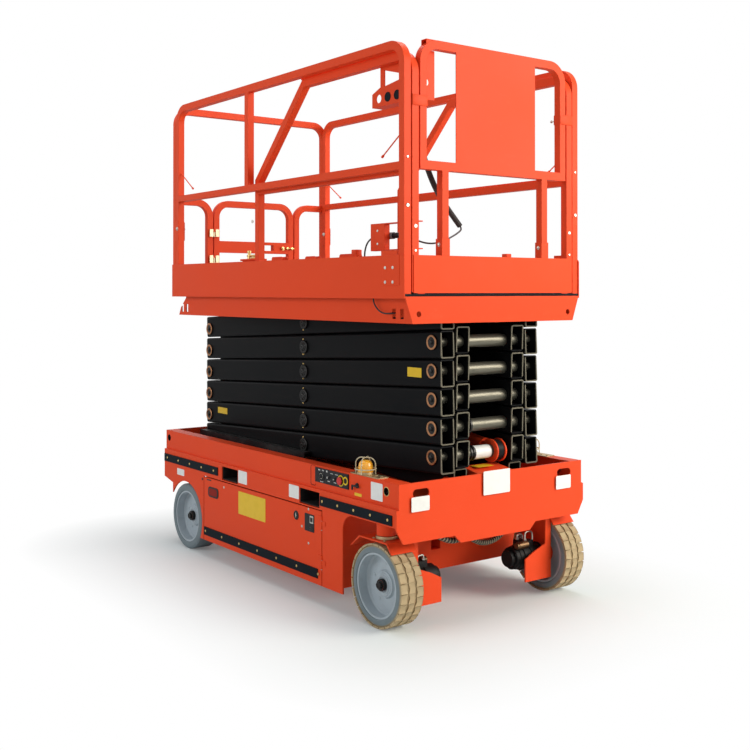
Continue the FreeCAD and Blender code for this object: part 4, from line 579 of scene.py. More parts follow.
for x, z, half, tall in ((524, 655, 8, 3), (556, 655, 8, 3), (590, 655, 6, 4), (KEY_X, 601, 13, 3),
                         (607, 610, 10, 2), (660, 610, 10, 2), (632, 650, 11, 1.5), (672, 650, 13, 1.5)):
    plate(*on_side(FASCIA, x - half, x + half, z - tall, z + tall, 0.7, 0.3), "y", 1, 0.2)
for x, top in zip(TOGGLES, (633.5, 629.9)):
    block((x - 3.5, FASCIA - 11.5, 624.5), (x + 3.5, FASCIA - 7.5, top), 1)
finished("panel_marks", pale_plastic, "chassis")
turned([(0, 2), (9, 2), (9, 7), (18.5, 8), (19.5, 9.5), (18, 12.5), (0, 13.5)], (STOP_X, FASCIA, 627), RIGHT)
finished("stop_button", red_button, "chassis")
turned([(20.5, 0), (26.5, 0), (26.2, 2), (20.8, 2)], (STOP_X, FASCIA, 627), RIGHT)
turned([(13, 0), (20, 0), (19.7, 1.6), (13.3, 1.6)], (746, FASCIA, 631), RIGHT, 28)
finished("stop_ring", yellow_ring, "chassis")
disc((834, -BEAM_FACE + 0.4, 622), RIGHT, 12.5, 6, 1.5)
turned([(0, 0), (6, 0), (6, 13), (0, 13.5)], (834, -BEAM_FACE, 622), RIGHT, 20)
block((804, -593.5, 616.5), (862, -586.5, 625.5), 3)
block((804, -593.5, 600), (814, -586.5, 625.5), 3)
finished("release_lever", black_plastic, "chassis")
plate(*on_side(-BEAM_FACE, 812, 868, 574, 588, 0.9), "y", 2)
finished("lever_plate", yellow_plate, "chassis")
ring(11.5, 14, 1.2, 0, (KEY_X, FASCIA - 3.5, 628), RIGHT)
finished("key_bezel", zinc, "chassis")


# Beacons: amber polycarbonate domes with ribs inside, each on a tan foot plate on a side
# beam and guarded by two crossed hoops of cream wire.
amber = Finish("amber_plastic", "amber_plastic", Specular_IOR_Level=0.5, Coat_Weight=0.4,
               Coat_Roughness=0.08, Emission_Strength=0.12)
ribs = amber.step((amber.across("Z") * 0.125).wave(), -0.6, 0.8, 0, 0.5)
glow = amber.mix(ribs, (0.90, 0.36, 0.01), (0.95, 0.62, 0.10))
amber.set(Base_Color=glow, Emission_Color=glow, Roughness=amber.step(amber.noise(30), 0.3, 0.7, 0.16, 0.28))
cream_wire = moulded("cream_wire", (0.60, 0.52, 0.36), 0.4, slot="steel")
tan_plate = bare("tan_plate", (0.50, 0.38, 0.22), 0.45)
BEACON_X, BEACON_Y, BEAM_TOP = 840, -535, 672


def beacon(rise):
    return Vector((BEACON_X, BEACON_Y, BEAM_TOP + rise))


def sweep(path, radius, sides):
    """Add a round bar along a path."""
    rings = []
    for number, point in enumerate(path):
        along = path[min(number + 1, len(path) - 1)] - path[max(number - 1, 0)]
        circle = bmesh.ops.create_circle(Bench.mesh, segments=sides, radius=radius)["verts"]
        laid(circle, point, along)
        rings.append(list({edge for vertex in circle for edge in vertex.link_edges}))
    for first, second in zip(rings, rings[1:]):
        bmesh.ops.bridge_loops(Bench.mesh, edges=first + second)
    bmesh.ops.holes_fill(Bench.mesh, edges=rings[0] + rings[-1], sides=sides)


def hoop(foot, turn, half, tall, bend, wire):
    """A wire hoop that rises, bends over the dome and comes down, open at its feet."""
    path = [Vector((-half, 0, 0))]
    for step in range(7):
        angle = math.radians(15 * step)
        path.append(Vector((-half + bend * (1 - math.cos(angle)), 0, tall - bend * (1 - math.sin(angle)))))
    path += [Vector((-point.x, 0, point.z)) for point in reversed(path)]
    spin = Matrix.Rotation(math.radians(turn), 3, "Z")
    sweep([foot + spin @ point for point in path], wire, 8)


turned([(0, 0), (36, 0), (36, 10), (34, 12), (33.5, 27), (31, 39), (25, 48.5), (14, 53.5), (0, 55)],
       beacon(12), UP, 40)
mirrored()
dome = finished("beacon_domes", amber, "chassis")
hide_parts("beacons")
for turn in (30, 120):
    hoop(beacon(3), turn, 50, 75, 30, 2.8)
ring(46.2, 51.5, 5, 0, beacon(23.5), UP)
mirrored()
finished("beacon_cages", cream_wire, "chassis")
plate((765, -574, BEAM_TOP - 0.4), (985, -505, BEAM_TOP + 4), "z", 12, 0.6)
turned([(0, 3), (41, 3), (40, 12.5), (0, 12.5)], beacon(0), UP)
for x in (785, 925, 965):
    disc((x, BEACON_Y, BEAM_TOP + 4), UP, 6, 3, 1, 16)
mirrored()
finished("beacon_plates", tan_plate, "chassis")


# Trays: steel doors hinged at the front that carry the batteries and the hydraulic unit.
# Each door has a sunk black pull, a slot, a round lock, a charging socket and bolt heads.
SIDES = (("left", 1), ("right", -1))
red_paint.cover("tray_left", "tray_right")
for side, sign in reversed(SIDES):
    out = (0, sign, 0)
    tray = f"tray_{side}"

    def proud(x0, x1, z0, z1, rise, sink=0.6):
        return on_side(sign * DOOR_FACE, x0, x1, z0, z1, rise, sink)

    plate(*proud(-603, -484, 353, 411, 3.2), "y", 20, 1)
    plate(*proud(-622, -570, 443, 450, 0.8), "y", 3, 0.2)
    disc((-676, sign * (DOOR_FACE - 0.5), 441), out, 8, 1.2, 0.3)
    turned([(0, 0), (23, 0), (23, 2), (20, 3.5), (16.5, 3.5), (15.5, 1.5), (0, 1.5)],
           (327, sign * (DOOR_FACE - 0.5), 402), out)
    plate(*proud(407, 491, 342, 428, 2.2), "y", 4, 0.8)
    finished(f"door_fittings_{side}", black_plastic, tray)
    # The pull's hollow is a raised dark red plate: painted shade.
    plate(*proud(-590, -497, 362, 402, 3.6, 0), "y", 14)
    finished(f"door_pull_shade_{side}", recess_shade_paint, tray)
    block(*proud(324.5, 329.5, 390, 414, 4.5), 0.8)
    block(*proud(320, 334, 400.5, 403.5, 4), 0.8)
    plate(*proud(455, 485, 385, 421, 4), "y", 3, 0.6)
    for x, z in ((440, 450), (440, 283), (380, 356), (-420, 430)):
        disc((x, sign * (DOOR_FACE - 0.4), z), out, 6.5, 2.2, 0.8, 16)
    finished(f"door_bright_{side}", zinc, tray)
    plate(*proud(459, 481, 392, 414, 4.4), "y", 2, 0.3)
    for z in (349, 361):
        block(*proud(452, 484, z, z + 6, 3), 0.5)
    finished(f"socket_face_{side}", black_steel, tray)
    strip_screws(-630, 530, 7, 151, sign)
    finished(f"door_screws_{side}", brass, tray)
    plate(*proud(-257, 28, 312, 435, 1), "y", 5)
    finished(f"door_plate_{side}", yellow_plate, tray)
    # The folded return at the door's top is in dark red: painted shade under the panel's edge.
    block((-654.5, sign * 583.5, 450.5), (540, sign * 559, 456.8), 0.6, 1)
    finished(f"door_return_{side}", recess_shade_paint, tray)
    for z in (200, 390):
        for rise in (-21.5, 21.5):
            disc((557, sign * 591, z + rise), (0, 0, rise), 4.2, 2.5, 0.8, 16)
    finished(f"hinge_pins_{side}", zinc, "chassis")


# Tyres: solid rubber pressed on the rims. The driven front pair has a pale tread of three
# ribs cut by zigzag grooves and notched shoulders; the rear pair is plain grey.
FRONT_AXLE = 981
AXLES = (("front", FRONT_AXLE), ("rear", -887))
WHEEL_RADIUS = 190.5
TYRE_OUTER = 583
TYRE_INNER = 456
LIP = 148.5
GROOVE = 7
PITCHES = 26
CUT = 0.036
GAP = 1.6
ZIG = 6


def compound(name, side_colour, tread_colour=None):
    """Grey rubber with a tread of its own colour beyond the shoulder radius."""
    rubber = Finish(name, "tyre", Specular_IOR_Level=0.25)
    speck = rubber.noise(60, 5, 0.6)
    dirt = rubber.step(rubber.noise(14, 5, 0.6), 0.45, 0.75, 0, 0.35)
    worn = rubber.mix(dirt, side_colour, shade(side_colour, 0.62))
    if tread_colour:
        share = rubber.node("Attribute", {"attribute_name": "tread"}, output="Fac")
        worn = rubber.mix(share, worn, rubber.mix(dirt, tread_colour, shade(tread_colour, 0.74)))
    rubber.bump(rubber.noise(500, 3), 0.25, 0.0005)
    return rubber.set(Base_Color=worn, Roughness=rubber.step(speck, 0.3, 0.7, 0.62, 0.82))


TYRE_GREY = (0.185, 0.225, 0.245)
front_rubber = compound("front_rubber", TYRE_GREY, (0.44, 0.335, 0.195))
rear_rubber = compound("rear_rubber", TYRE_GREY)


def tread_block(outline, foot, top, chamfer):
    """A rubber block on the tread, raised from a flat outline of (angle, across) points."""
    mesh = Bench.mesh
    face = mesh.faces.new([mesh.verts.new((foot * math.cos(turn), across, foot * math.sin(turn)))
                           for turn, across in outline])
    raised = bmesh.ops.extrude_face_region(mesh, geom=[face])["geom"]
    crown = [item for item in raised if isinstance(item, bmesh.types.BMVert)]
    lid = [item for item in raised if isinstance(item, bmesh.types.BMFace)]

    def pushed(radius):
        for point in crown:
            share = radius / math.hypot(point.co.x, point.co.z)
            point.co = (point.co.x * share, point.co.y, point.co.z * share)

    pushed(top)
    bmesh.ops.inset_region(mesh, faces=lid, thickness=chamfer, depth=0, use_even_offset=True)
    pushed(top - chamfer)


def tread(half, foot):
    """Three ribs of blocks round a tyre: outlines of (share of a pitch, across) points."""
    rib = half / 3 - GAP
    groove = half / 3 + GAP
    near, far = CUT * 0.3, 1 - CUT * 0.3
    shoulder = ((CUT, half - 16), (CUT * 1.6, half - 1), (0.5, half - 1), (1 - CUT * 1.6, half - 1),
                (1 - CUT, half - 16), (far, groove), (0.5, groove + ZIG), (near, groove))
    middle = ((near, -rib), (0.5, ZIG - rib), (far, -rib), (1, 0), (far, rib - ZIG), (0.5, rib),
              (near, rib - ZIG), (0, 0))
    for turn in range(PITCHES):
        for outline, row, lag in ((shoulder, -1, 0), (shoulder, 1, 0.5), (middle, 1, 0)):
            tread_block([((turn + lag + share) * math.tau / PITCHES, row * across)
                         for share, across in outline], foot, WHEEL_RADIUS - 0.4, 1.2)


def tyre(end, side, axle_x, sign):
    half = (TYRE_OUTER - TYRE_INNER) / 2
    ribbed = end == "front"
    crown = WHEEL_RADIUS - (GROOVE if ribbed else 0)
    profile = [(LIP, half - 4), (LIP + 4, half), (crown - 20, half), (crown - 12, half - 1.5),
               (crown - 4, half - 6), (crown, half - 13), (crown, 0)]
    profile += [(radius, -along) for radius, along in reversed(profile[:-1])]
    profile += [(LIP - 1, 8 - half), (LIP - 1, half - 8)]
    turned(profile, (0, 0, 0), LEFT, PITCHES * 4)
    if ribbed:
        tread(half, crown - 2)
    middle = sign * (TYRE_OUTER + TYRE_INNER) / 2
    bmesh.ops.translate(Bench.mesh, verts=Bench.mesh.verts, vec=(axle_x, middle, WHEEL_RADIUS))
    piece = finished(f"rubber_{end}_{side}", front_rubber if ribbed else rear_rubber, f"wheel_{end}_{side}",
                     smooth=40)
    pale = piece.data.attributes.new("tread", "FLOAT", "POINT")
    for number, vertex in enumerate(piece.data.vertices):
        spread = math.hypot(vertex.co.x / MM - axle_x, vertex.co.z / MM - WHEEL_RADIUS)
        pale.data[number].value = 1.0 if spread > crown - 9 else 0.0
    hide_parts(f"tyre_{end}_{side}")


for end, axle_x in AXLES:
    for side, sign in SIDES:
        tyre(end, side, axle_x, sign)


# Rims: pressed steel discs welded in a rolled barrel, painted grey, with a shallow step
# round a raised hub ring. The castle nut of the spindle shows in the middle.
grey_paint = coated("grey_paint", "grey_paint", ((0.37, 0.425, 0.47), (0.46, 0.52, 0.56)), (0.34, 0.5),
                    (7, 4), (300, 2), 0.12, 0.0006, 0.003, Specular_IOR_Level=0.25)
grime = grey_paint.step(grey_paint.noise(24, 5, 0.6), 0.52, 0.8, 0, 0.3)
grey_paint.set(Base_Color=grey_paint.mix(grime, grey_paint.colour, (0.22, 0.22, 0.21)))
HUB_FACE = TYRE_OUTER - 45
for end, axle_x in AXLES:
    for side, sign in SIDES:
        grey_paint.cover(f"rim_{end}_{side}")
        out = Vector((0, sign, 0))
        seat = Vector((axle_x, sign * HUB_FACE, WHEEL_RADIUS))
        turned([(52, -15), (60, -15), (60, -6), (57, -4), (51, -4)], seat, out)
        turned([(34, -1), (44, -1), (43, 3), (35, 3)], seat, out)
        for across, rise in around(5, 92, 20):
            disc(seat + Vector((across, -sign * 16.5, rise)), out, 7.5, 3, 1, 16)
        finished(f"hub_rings_{end}_{side}", grey_paint, f"wheel_{end}_{side}")
        nut = seat + out * 20.2
        turned([(26.4, -18), (27.8, -18), (27.8, -3), (25.5, 0.4), (0, 0.4), (0, -0.5), (26.4, -0.5)], nut,
               out, 36)
        turned([(0, 0), (17.5, 0), (16.5, 10), (12.5, 11), (12, 8.5), (0, 8.5)], nut, out, 24)
        block(nut + Vector((-22.5, sign * 4.5, -1.5)), nut + Vector((22.5, sign * 7.5, 1.5)), 1)
        finished(f"hub_nut_{end}_{side}", black_steel, "chassis" if end == "rear" else f"knuckle_{side}")


# Steering knuckles: folded red plate over and behind each front wheel, hung on a kingpin.
# A pale turned collar sits on the kingpin between the arch plate and the housing.
KINGPIN_Y = 520
red_paint.cover("knuckle_left", "knuckle_right")
for side, sign in SIDES:
    ring(46.5, 50, 15, 1, (FRONT_AXLE, sign * KINGPIN_Y, 399.5), UP, 36)
    for ahead, across in around(4, 58, 45):
        bolt((FRONT_AXLE + ahead, sign * KINGPIN_Y + across, 397.8), UP, 6)
    finished(f"kingpin_collar_{side}", tan_plate, f"knuckle_{side}")


# Drive motors: black cast hydraulic motors inside the front wheels, with a bolted end
# cover, a port block, a short bronze valve body on top and two bright bent feed pipes.
iron = coated("cast_black", "dark_paint", ((0.004, 0.004, 0.005), (0.016, 0.015, 0.015)), (0.4, 0.62),
              (22, 5, 0.6), (160, 4, 0.65), 0.35, 0.001, 0.003, Specular_IOR_Level=0.15)
iron.cover("drive_motor_left", "drive_motor_right")
bronze = bare("valve_bronze", (0.19, 0.115, 0.060), 0.42)


def pipe(points, radius):
    """A bent metal pipe through points, with its elbows rounded."""
    points = [Vector(point) for point in points]
    path = points[:1]
    for before, corner, after in zip(points, points[1:], points[2:]):
        reach = 0.42 * min((before - corner).length, (after - corner).length)
        start = corner + (before - corner).normalized() * reach
        end = corner + (after - corner).normalized() * reach
        for step in range(6):
            share = step / 5
            path.append(start * (1 - share) ** 2 + corner * 2 * share * (1 - share) + end * share ** 2)
    sweep(path + points[-1:], radius, 12)


for side, sign in SIDES:
    inward = (0, -sign, 0)

    def motor(ahead, across, rise):
        """A place by the front axle; across is the distance from the middle of the lift."""
        return FRONT_AXLE + ahead, sign * across, WHEEL_RADIUS + rise

    turned([(34, 2), (52, 2), (55, -1), (55, -22), (58.5, -24), (58.5, -48), (39, -48)], motor(0, 256, 0),
           inward, 36)
    for ahead, rise in around(6, 46, 30):
        bolt(motor(ahead, 254, rise), inward, 6.5)
    ring(57, 64, 28, 2, motor(0, 330, 0), inward, 36)
    ring(57, 62, 14, 2, motor(0, 366, 0), inward, 36)
    block(motor(-33, 305, 44), motor(33, 385, 82), 4)
    finished(f"motor_cover_{side}", iron, f"knuckle_{side}")
    turned([(0, 0), (16, 0), (18.5, 2), (18.5, 62), (15, 65), (15, 74), (0, 75)], motor(sign * 37, 335, 66),
           inward, 28)
    finished(f"motor_valve_{side}", bronze, f"knuckle_{side}")
    for along, near, far, top in ((-16, 318, 354, 106), (22, 335, 387, 124)):
        x = sign * along
        turned([(0, 0), (9.5, 0), (9.5, 10), (7.5, 12), (0, 12)], motor(x, near, 80), UP, 6)
        pipe((motor(x, near, 90), motor(x, near, top), motor(x, far, top), motor(x, far, 62)), 4.8)
    finished(f"motor_pipes_{side}", zinc, f"knuckle_{side}")


# Scissor arms: open rectangular steel tubes, painted black, with saw-cut ends where the
# bare edge shows, bare cross tubes and, inside the open ends, the bare pin sleeves.
PIN_FRONT = 1054
PIN_REAR = -1115
BASE_PIN = 622
RISE = 133
STAGES = range(1, 7)
INNER_TUBE = (142.5, 207.5)
OUTER_TUBE = (236.5, 301.5)
PIN_SLEEVE = 33


def arm_paint(name, front_end):
    paint = coated(name, "dark_paint", ((0.0030, 0.0042, 0.0058), (0.0105, 0.0092, 0.0092)), (0.30, 0.44),
                   (3, 5, 0.6, (0.5, 1, 1)), (260, 3), 0.12, 0.0006, 0.002, Specular_IOR_Level=0.05)
    film = paint.step(paint.noise(12, 6, 0.7, (0.3, 1, 2)), 0.56, 0.88, 0, 0.16)
    black = paint.mix(film, paint.colour, (0.040, 0.028, 0.022))
    bare_tube = paint.mix(paint.noise(40, 4, 0.6, (3, 0.2, 3)), (0.075, 0.070, 0.054), (0.19, 0.178, 0.145))
    side = abs(paint.across("Y"))
    along = paint.across("X")
    level = ((paint.across("Z") - BASE_PIN) * (1 / RISE) + 0.5).fract() - 0.5
    between = ((side > INNER_TUBE[0]) * (side < INNER_TUBE[1])
               + (side > OUTER_TUBE[0]) * (side < OUTER_TUBE[1]))
    at_pin = (abs(along - PIN_FRONT) < PIN_SLEEVE) + (abs(along - PIN_REAR) < PIN_SLEEVE)
    bright = (side < 134) + between * at_pin * (abs(level) < PIN_SLEEVE / RISE)
    cut_edge = (along > front_end - 2.2) + (along < PIN_REAR - 35.8)
    colour = paint.mix(cut_edge, paint.mix(bright, black, bare_tube), (0.165, 0.150, 0.115))
    return paint.set(Base_Color=colour, Metallic=bright * 0.7)


arm_finish = arm_paint("arm_paint", PIN_FRONT + 60)
base_arm_finish = arm_paint("base_arm_paint", PIN_FRONT + 40)
for stage in STAGES:
    (base_arm_finish if stage == 1 else arm_finish).cover(f"inner_arm_{stage}")
    arm_finish.cover(f"outer_arm_{stage}")


# Stack pins: each pin ends in a spacer ring with a coppery rim and a dark retaining bolt.
# At the middle of a stage a black castle nut sits between two brass grease fittings.
copper = bare("copper_rim", (0.50, 0.24, 0.12), 0.36)
PIN_FACE = 315
for stage in STAGES:
    body = f"outer_{stage}"
    low_pin = BASE_PIN + RISE * (stage - 1)
    ends = ((PIN_FRONT, PIN_FACE, low_pin + RISE), (PIN_REAR, PIN_FACE, low_pin))
    x, z = (PIN_FRONT + PIN_REAR) / 2, low_pin + RISE / 2
    for pin in ends:
        turned([(24.5, -1), (35.2, -1), (35.2, 1.4), (33.5, 3), (26.2, 3), (24.5, 1)], pin, LEFT)
    mirrored()
    finished(f"pin_rims_{stage}", copper, body)
    for pin in ends:
        turned([(0, 0.6), (24.6, 0.6), (24.6, -1), (0, -1)], pin, LEFT, 28)
        bolt((pin[0], PIN_FACE + 0.5, pin[2]), LEFT, 10.5)
    turned([(24, -2), (35.5, -2), (35.5, 3), (33, 5), (24, 5)], (x, PIN_FACE, z), LEFT)
    for across, rise in around(6, 17.5):
        tooth = Vector((x + across, PIN_FACE, z + rise))
        block(tooth - Vector((4.5, 1, 4.5)), tooth + Vector((4.5, 8.5, 4.5)), 1, 1)
    hexagon((x, PIN_FACE - 1, z), LEFT, 24.5, 6)
    disc((x, PIN_FACE + 4, z), LEFT, 11, 4)
    mirrored()
    finished(f"pin_bolts_{stage}", black_steel, body)
    for drop in (-40.5, 40.5):
        disc((x - 12, 308.5, z + drop), LEFT, 5.2, 3.5, 1.4, 16)
        disc((x - 12, 311.5, z + drop), LEFT, 2.6, 3, 0.8, 12)
    mirrored()
    finished(f"grease_fittings_{stage}", brass, body)

ARM_FACE = 309
plate(*on_side(-ARM_FACE, -1010, -892, 773, 810, 1), "y", 3)
finished("arm_plate_low", yellow_plate, "outer_2")
plate(*on_side(-ARM_FACE, 869, 974, 1118, 1163, 1), "y", 3)
finished("arm_plate_high", yellow_plate, "outer_4")


# Lift cylinder: red tube with a forked foot on the second stage's front cross tube, where a
# white band and a dark clamp go round the tube. Its chromed rod runs back and up.
barrel_paint = painted("barrel_paint", RED, RED_SCUFF)
# Black on the foot between its two rings: painted shade in the gap between them.
aside = barrel_paint.across("Y")
foot_gap_shade = (barrel_paint.across("X") > 1004) * (aside > 58) * (aside < 102)
barrel_paint.set(Base_Color=barrel_paint.mix(foot_gap_shade, barrel_paint.colour, (0.010, 0.010, 0.011)))
barrel_paint.cover("lift_barrel")
chrome = bare("chrome", (0.72, 0.72, 0.73), 0.12)
chrome.cover("lift_rod")
CROSS_TUBE = 31
ring(CROSS_TUBE, CROSS_TUBE + 1.2, 99, 0.5, (PIN_FRONT, -65, BASE_PIN + RISE), LEFT, 40)
finished("tube_band", white_plate, "inner_2")
for y, stage, thick in ((-100, 1, 6), (-82, 1, 6), (-105, 2, 8)):
    ring(CROSS_TUBE, CROSS_TUBE + thick, 12, 1, (PIN_FRONT, y, BASE_PIN + RISE * stage), LEFT, 40)
finished("tube_clamps", black_steel, "inner_2")


# Platform: a folded red tray on a skirt frame, with a tread-plate steel deck and toe boards.
# Four bolts hold the end of each side toe board to the front corner plate.
BAR_PITCH = 34
TOE_PLATE_X = 1157.2


def tread_plate():
    """Steel deck plate with crossed raised bars, dull and trodden."""
    steel = Finish("tread_plate", "steel", Specular_IOR_Level=0.08)
    x, y = steel.across("X"), steel.across("Y")
    bars = []
    for lean, offset in ((1, 0), (-1, 0.5)):
        along = ((x + y * lean) * (0.7071 / BAR_PITCH) + offset).fract() - 0.5
        aside = ((x - y * lean) * (0.7071 / BAR_PITCH) + offset).fract() - 0.5
        bars.append((abs(along) < 0.33) * (abs(aside) < 0.10))
    on_toe = x > TOE_PLATE_X
    raised = bars[0].larger(bars[1]) * (1 - on_toe)
    worn = steel.noise(6, 5, 0.6)
    plain = steel.mix(worn, (0.20, 0.20, 0.19), (0.34, 0.34, 0.33))
    lit = steel.mix(raised * 0.6, plain, (0.52, 0.52, 0.50))
    steel.bump(raised, 0.6, 0.0015)
    return steel.set(Base_Color=steel.mix(on_toe, lit, RED), Metallic=(1 - on_toe) * 0.75,
                     Roughness=steel.step(worn, 0.2, 0.8, 0.36, 0.6))


tread_plate().cover("platform_deck", "extension_deck")
red_paint.cover("platform_frame", "toe_boards")
TOE_FACE = -560
for x in (1025, 1081):
    for z in (1564, 1629):
        disc((x, TOE_FACE - 1.8, z), RIGHT, 7.5, 2.6, 1, 20)
mirrored()
finished("toe_bolts", zinc, "platform")
plate(*on_side(TOE_FACE, 1004, 1128, 1548, 1686, 2, 1), "y", 5, 0.6)
block(*on_side(TOE_FACE, 992, 1112, 1676, 1706, 0.3, 3.7), 0.8, 1)
mirrored()
finished("toe_end_plates", red_paint, "platform")
# A black strip in the gap under the deck's front edge: painted shadow.
block((1153, -555.5, 1500.3), (1158.3, 555.5, 1510.9), 0)
finished("skirt_gap_shade", black_rubber, "platform")


# Guard rails: bent square tube, painted red, with sockets and pale bolts where the hinged
# upper parts stand on their feet, and thin stay rods across the rear and front corners.
red_paint.cover("side_rail_left", "side_rail_right", "rear_rail")
RAIL_Y = -537


def stay(x0, z0, x1, z1, radius=3.2):
    """A thin rod along the side rail, with a flattened eye at both ends."""
    low, high = Vector((x0, RAIL_Y, z0)), Vector((x1, RAIL_Y, z1))
    eye, length = radius * 1.9, (high - low).length
    turned([(0, 0), (eye, 0.5), (eye, 10), (radius, 18), (radius, length - 18), (eye, length - 10),
            (eye, length - 0.5), (0, length)], low, high - low, 12)


stay(-900, 2134, -1076, 2252)
stay(969, 2134, 1122, 2236)
for y in (-556.5, -515):
    plate(*on_side(y, -1099, -1052, 1828, 1945, 2.5, 0), "y", 10, 0.5)
mirrored()
finished("rail_stays", red_paint, "platform")
bolt((-1066, -559, 1902), RIGHT, 8.5)
bolt((-1066, -514.5, 1902), LEFT, 8.5)
bolt((-236, -517.5, 1905), LEFT, 7.5)
disc((1155.5, RAIL_Y, 1905), AHEAD, 8.5, 5, 2, 20)
disc((1155.5, RAIL_Y, 2120), AHEAD, 6, 4, 1.5, 20)
for z in (1760, 2420):
    disc((-1093.5, RAIL_Y, z), BACK, 7.5, 4, 1.5, 20)
mirrored()
finished("rail_bolts", zinc, "platform")


# Gate: bent-tube loop with a flat bar and a hand hole, swung on two pale butt hinges at the
# rear rail and held by a yellow-zinc spring bolt.
red_paint.cover("gate")
pale_zinc = bare("pale_zinc", (0.60, 0.53, 0.36), 0.42)
for name, body, leaf_y, pin_rise, pin in (("gate_hinge_fixed", "platform", -330, -1, 17),
                                          ("gate_hinge_moving", "gate", -288.5, 17, 13)):
    for z in (1700, 1862):
        plate((-1081, leaf_y, z), (-1079.5, leaf_y + 24.5, z + 46), "x", 2)
        for y in (leaf_y + 6, leaf_y + 18.5):
            for rise in (10, 36):
                disc((-1079.6, y, z + rise), AHEAD, 3, 1, 0.4, 12)
        rod((-1088, -297, z + pin_rise), UP, 7.6, pin)
    finished(name, pale_zinc, body)
LATCH_Z = 1800
bolt((-1081.2, 204, LATCH_Z), AHEAD, 8.5)
turned([(0, 0), (5, 0.5), (5, 62), (0, 62.5)], (-1074.5, 222, LATCH_Z), LEFT, 16)
for y in (226, 262):
    block((-1081.2, y, LATCH_Z - 10), (-1067.5, y + 12, LATCH_Z + 10), 2)
turned([(0, 0), (3, 0), (3, 16), (5.5, 18), (5.5, 26), (0, 27)], (-1074.5, 250, LATCH_Z), AHEAD, 16)
finished("gate_latch", brass, "gate")


# Extension: a second deck with its own toe board and rails that rolls out to the front.
# Its front posts stand in welded sockets and clamps join the front frame to the sides.
red_paint.cover("extension_rail_left", "extension_rail_right", "front_rail")
for x0, x1 in ((1116.5, 1119.9), (1158.1, 1161.2)):
    block((x0, -342, 1684), (x1, -294, 1762), 0.8, 1)
for y in (-342, -298.9):
    block((1119.9, y, 1684), (1158.1, y + 4.9, 1762), 0.8, 1)
for x0, x1 in ((1158.2, 1161.5), (1116.5, 1119.9)):
    block((x0, -512.5, 2352), (x1, -426, 2400))
block((240, -508, 2605.5), (1050, -480, 2613), 1, 1)
mirrored()
finished("post_sockets", red_paint, "extension")
# A black strip in the slit between the deck and the extension deck: painted shadow.
block((1150, -438.5, 1511.3), (1157.6, 438.5, 1515.6), 0)
finished("deck_gap_shade", black_rubber, "extension")
for side in (-1, 1):
    bolt((1139, side * 318 - 24, 1735), RIGHT, 7)
    disc((1157.5, side * 493, 1814), AHEAD, 8.5, 3.5, 1.4, 20)
    disc((1157.5, side * 493, 1705), AHEAD, 6, 3, 1.2, 20)
    for y in (438, 500):
        disc((1116.8, side * y, 2376), BACK, 6.5, 6, 1.5, 6)
turned([(0, 0), (3.2, 0), (3.2, 34), (7, 36), (7, 40), (0, 40)], (1116.5, 450, 2376), BACK, 16)
finished("clamp_bolts", zinc, "extension")

# The open stub of the top tube and the holder plate that hangs under it.
for x0, x1, z0, z1 in ((1120.5, 1157.5, 2619.5, 2622.5), (1120.5, 1157.5, 2654.5, 2657.8),
                       (1120.5, 1123.5, 2622.5, 2654.5), (1154.5, 1157.5, 2622.5, 2654.5)):
    block((x0, -430, z0), (x1, -300, z1), 0.4, 1)
plate((1112.5, -440, 2392), (1116.5, -348, 2618), "x", 4, 0.6)
finished("holder_plate", red_paint, "extension")
ring(8.5, 16.5, 0.8, 0, (1116.5, -402, 2470), AHEAD, 28)
finished("holder_ring", white_plate, "extension")

# The deck pedestal behind the extension with its brass latch, and the low feet of its posts.
PEDESTAL_Y = -440
PEDESTAL_TOP = 1704
block((-428, -470, 1511), (-290, -410, 1700), 3)
block((-440, -478, 1693), (-272, -402, PEDESTAL_TOP), 2)
finished("pedestal", red_paint, "platform")
turned([(0, 0), (11, 0), (11, 16), (8, 18), (8, 34), (12, 36), (12, 46), (0, 48)],
       (-402, PEDESTAL_Y, PEDESTAL_TOP), UP, 24)
rod((-420, PEDESTAL_Y, 1722), AHEAD, 6.5, 130, 16)
pipe(((-300, PEDESTAL_Y, 1722), (-280, PEDESTAL_Y, 1735), (-276, PEDESTAL_Y, 1775)), 5.5)
rod((-348, PEDESTAL_Y, PEDESTAL_TOP), UP, 10, 20, 6)
block((-375, -452, PEDESTAL_TOP), (-310, -428, PEDESTAL_TOP + 10), 2)
finished("pedestal_latch", brass, "platform")
for x0, x1, top in ((-42, 68, 1705), (285, 380, 1700), (590, 730, 1703)):
    for y in (-507.5, -475):
        plate(*on_side(y, x0, x1, 1523.5, top, 4, 0), "y", 12, 0.6)
block((690, -511, 1684), (728, -475, 1722), 3)
mirrored()
finished("post_feet", red_paint, "extension")


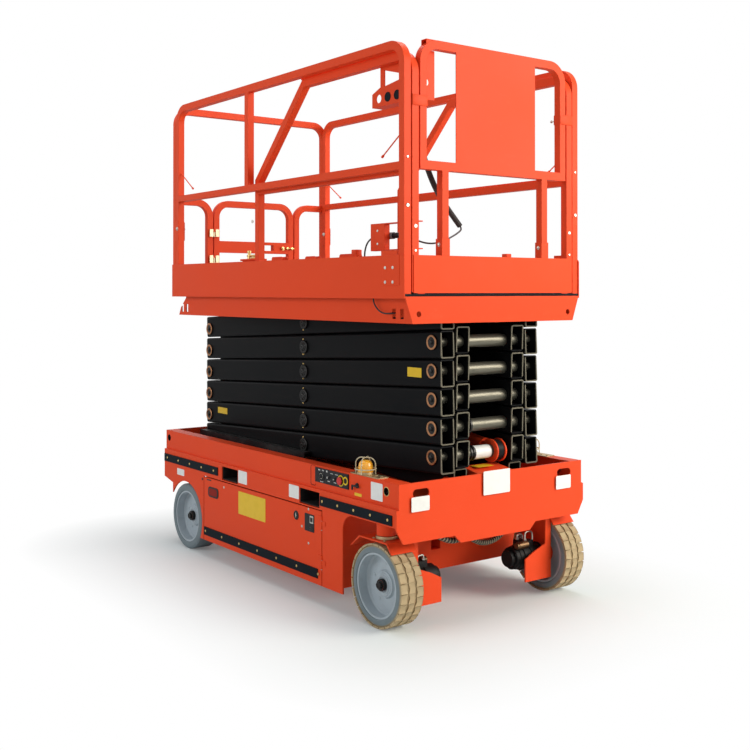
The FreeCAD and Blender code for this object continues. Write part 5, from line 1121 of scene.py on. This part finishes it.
# Controls on the extension: a holed steel bracket under the top rail, a folded holder with
# two rivets for the hand control, and the grey connector that its cable plugs into.
red_paint.cover("control_bracket", "control_box")
for x in (930, 1000):
    turned([(0, 1), (17.5, 1), (19.2, 2.4), (22.5, 2), (22.5, 0.2), (19.6, 0.2), (19.6, -5.2), (0, -5.2)],
           (x, -474, 2424), RIGHT, 28)
finished("bracket_plugs", black_rubber, "extension")
grey_plastic = moulded("grey_plastic", (0.17, 0.175, 0.18), 0.42)
for z in (1745, 1806):
    disc((851, -473.8, z), RIGHT, 6.2, 2.2, 1, 18)
finished("holder_rivets", zinc, "extension")


def plug(x):
    """A place along the connector."""
    return x, -429, 1783


turned([(15.2, 0), (16.2, 1), (16.2, 26), (17.5, 28), (17.5, 40), (16.2, 42), (16.2, 90), (15.2, 92)],
       plug(828), AHEAD)
finished("connector_shell", grey_plastic, "extension")
for x in (922.5, 934, 945.5):
    ring(12, 13.2, 7, 0.8, plug(x), AHEAD, 28)
turned([(4.2, 18), (6.2, 16), (11, 0), (4.2, 0)], plug(961.8), AHEAD, 24)
finished("connector_nut", black_plastic, "extension")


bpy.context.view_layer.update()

# Floor: pale and flat, and not part of the lift. Seen by the camera it pales to the white
# of the backdrop with distance, and keeps the lift's shadow near it.
ground = bmesh.new()
bmesh.ops.create_grid(ground, x_segments=1, y_segments=1, size=60)
floor_data = bpy.data.meshes.new("floor")
ground.to_mesh(floor_data)
ground.free()
floor = linked("floor", floor_data)
pale = Finish("pale_floor", None, Roughness=0.7, Specular_IOR_Level=0.1)
pale.set(Base_Color=pale.mix(pale.noise(3, 3), (0.72, 0.78, 0.79), (0.76, 0.82, 0.83)))
beyond_end = (abs(pale.across("X")) - 1150).larger(0)
beyond_side = (abs(pale.across("Y")) - 550).larger(0)
spread = (beyond_end * beyond_end + beyond_side * beyond_side).root()
share = pale.node("LightPath") * pale.step(spread, 0, 900, 0.12, 1.0)
lit = pale.node("Emission", inputs={"Color": (1.0, 1.0, 1.0), "Strength": 1.0})
blend = pale.node("MixShader", inputs={0: share, 1: Tone(pale, pale.shader.outputs[0]), 2: lit})
pale.feed(pale.tree.nodes["Material Output"].inputs["Surface"], blend)
floor_data.materials.append(pale.material)
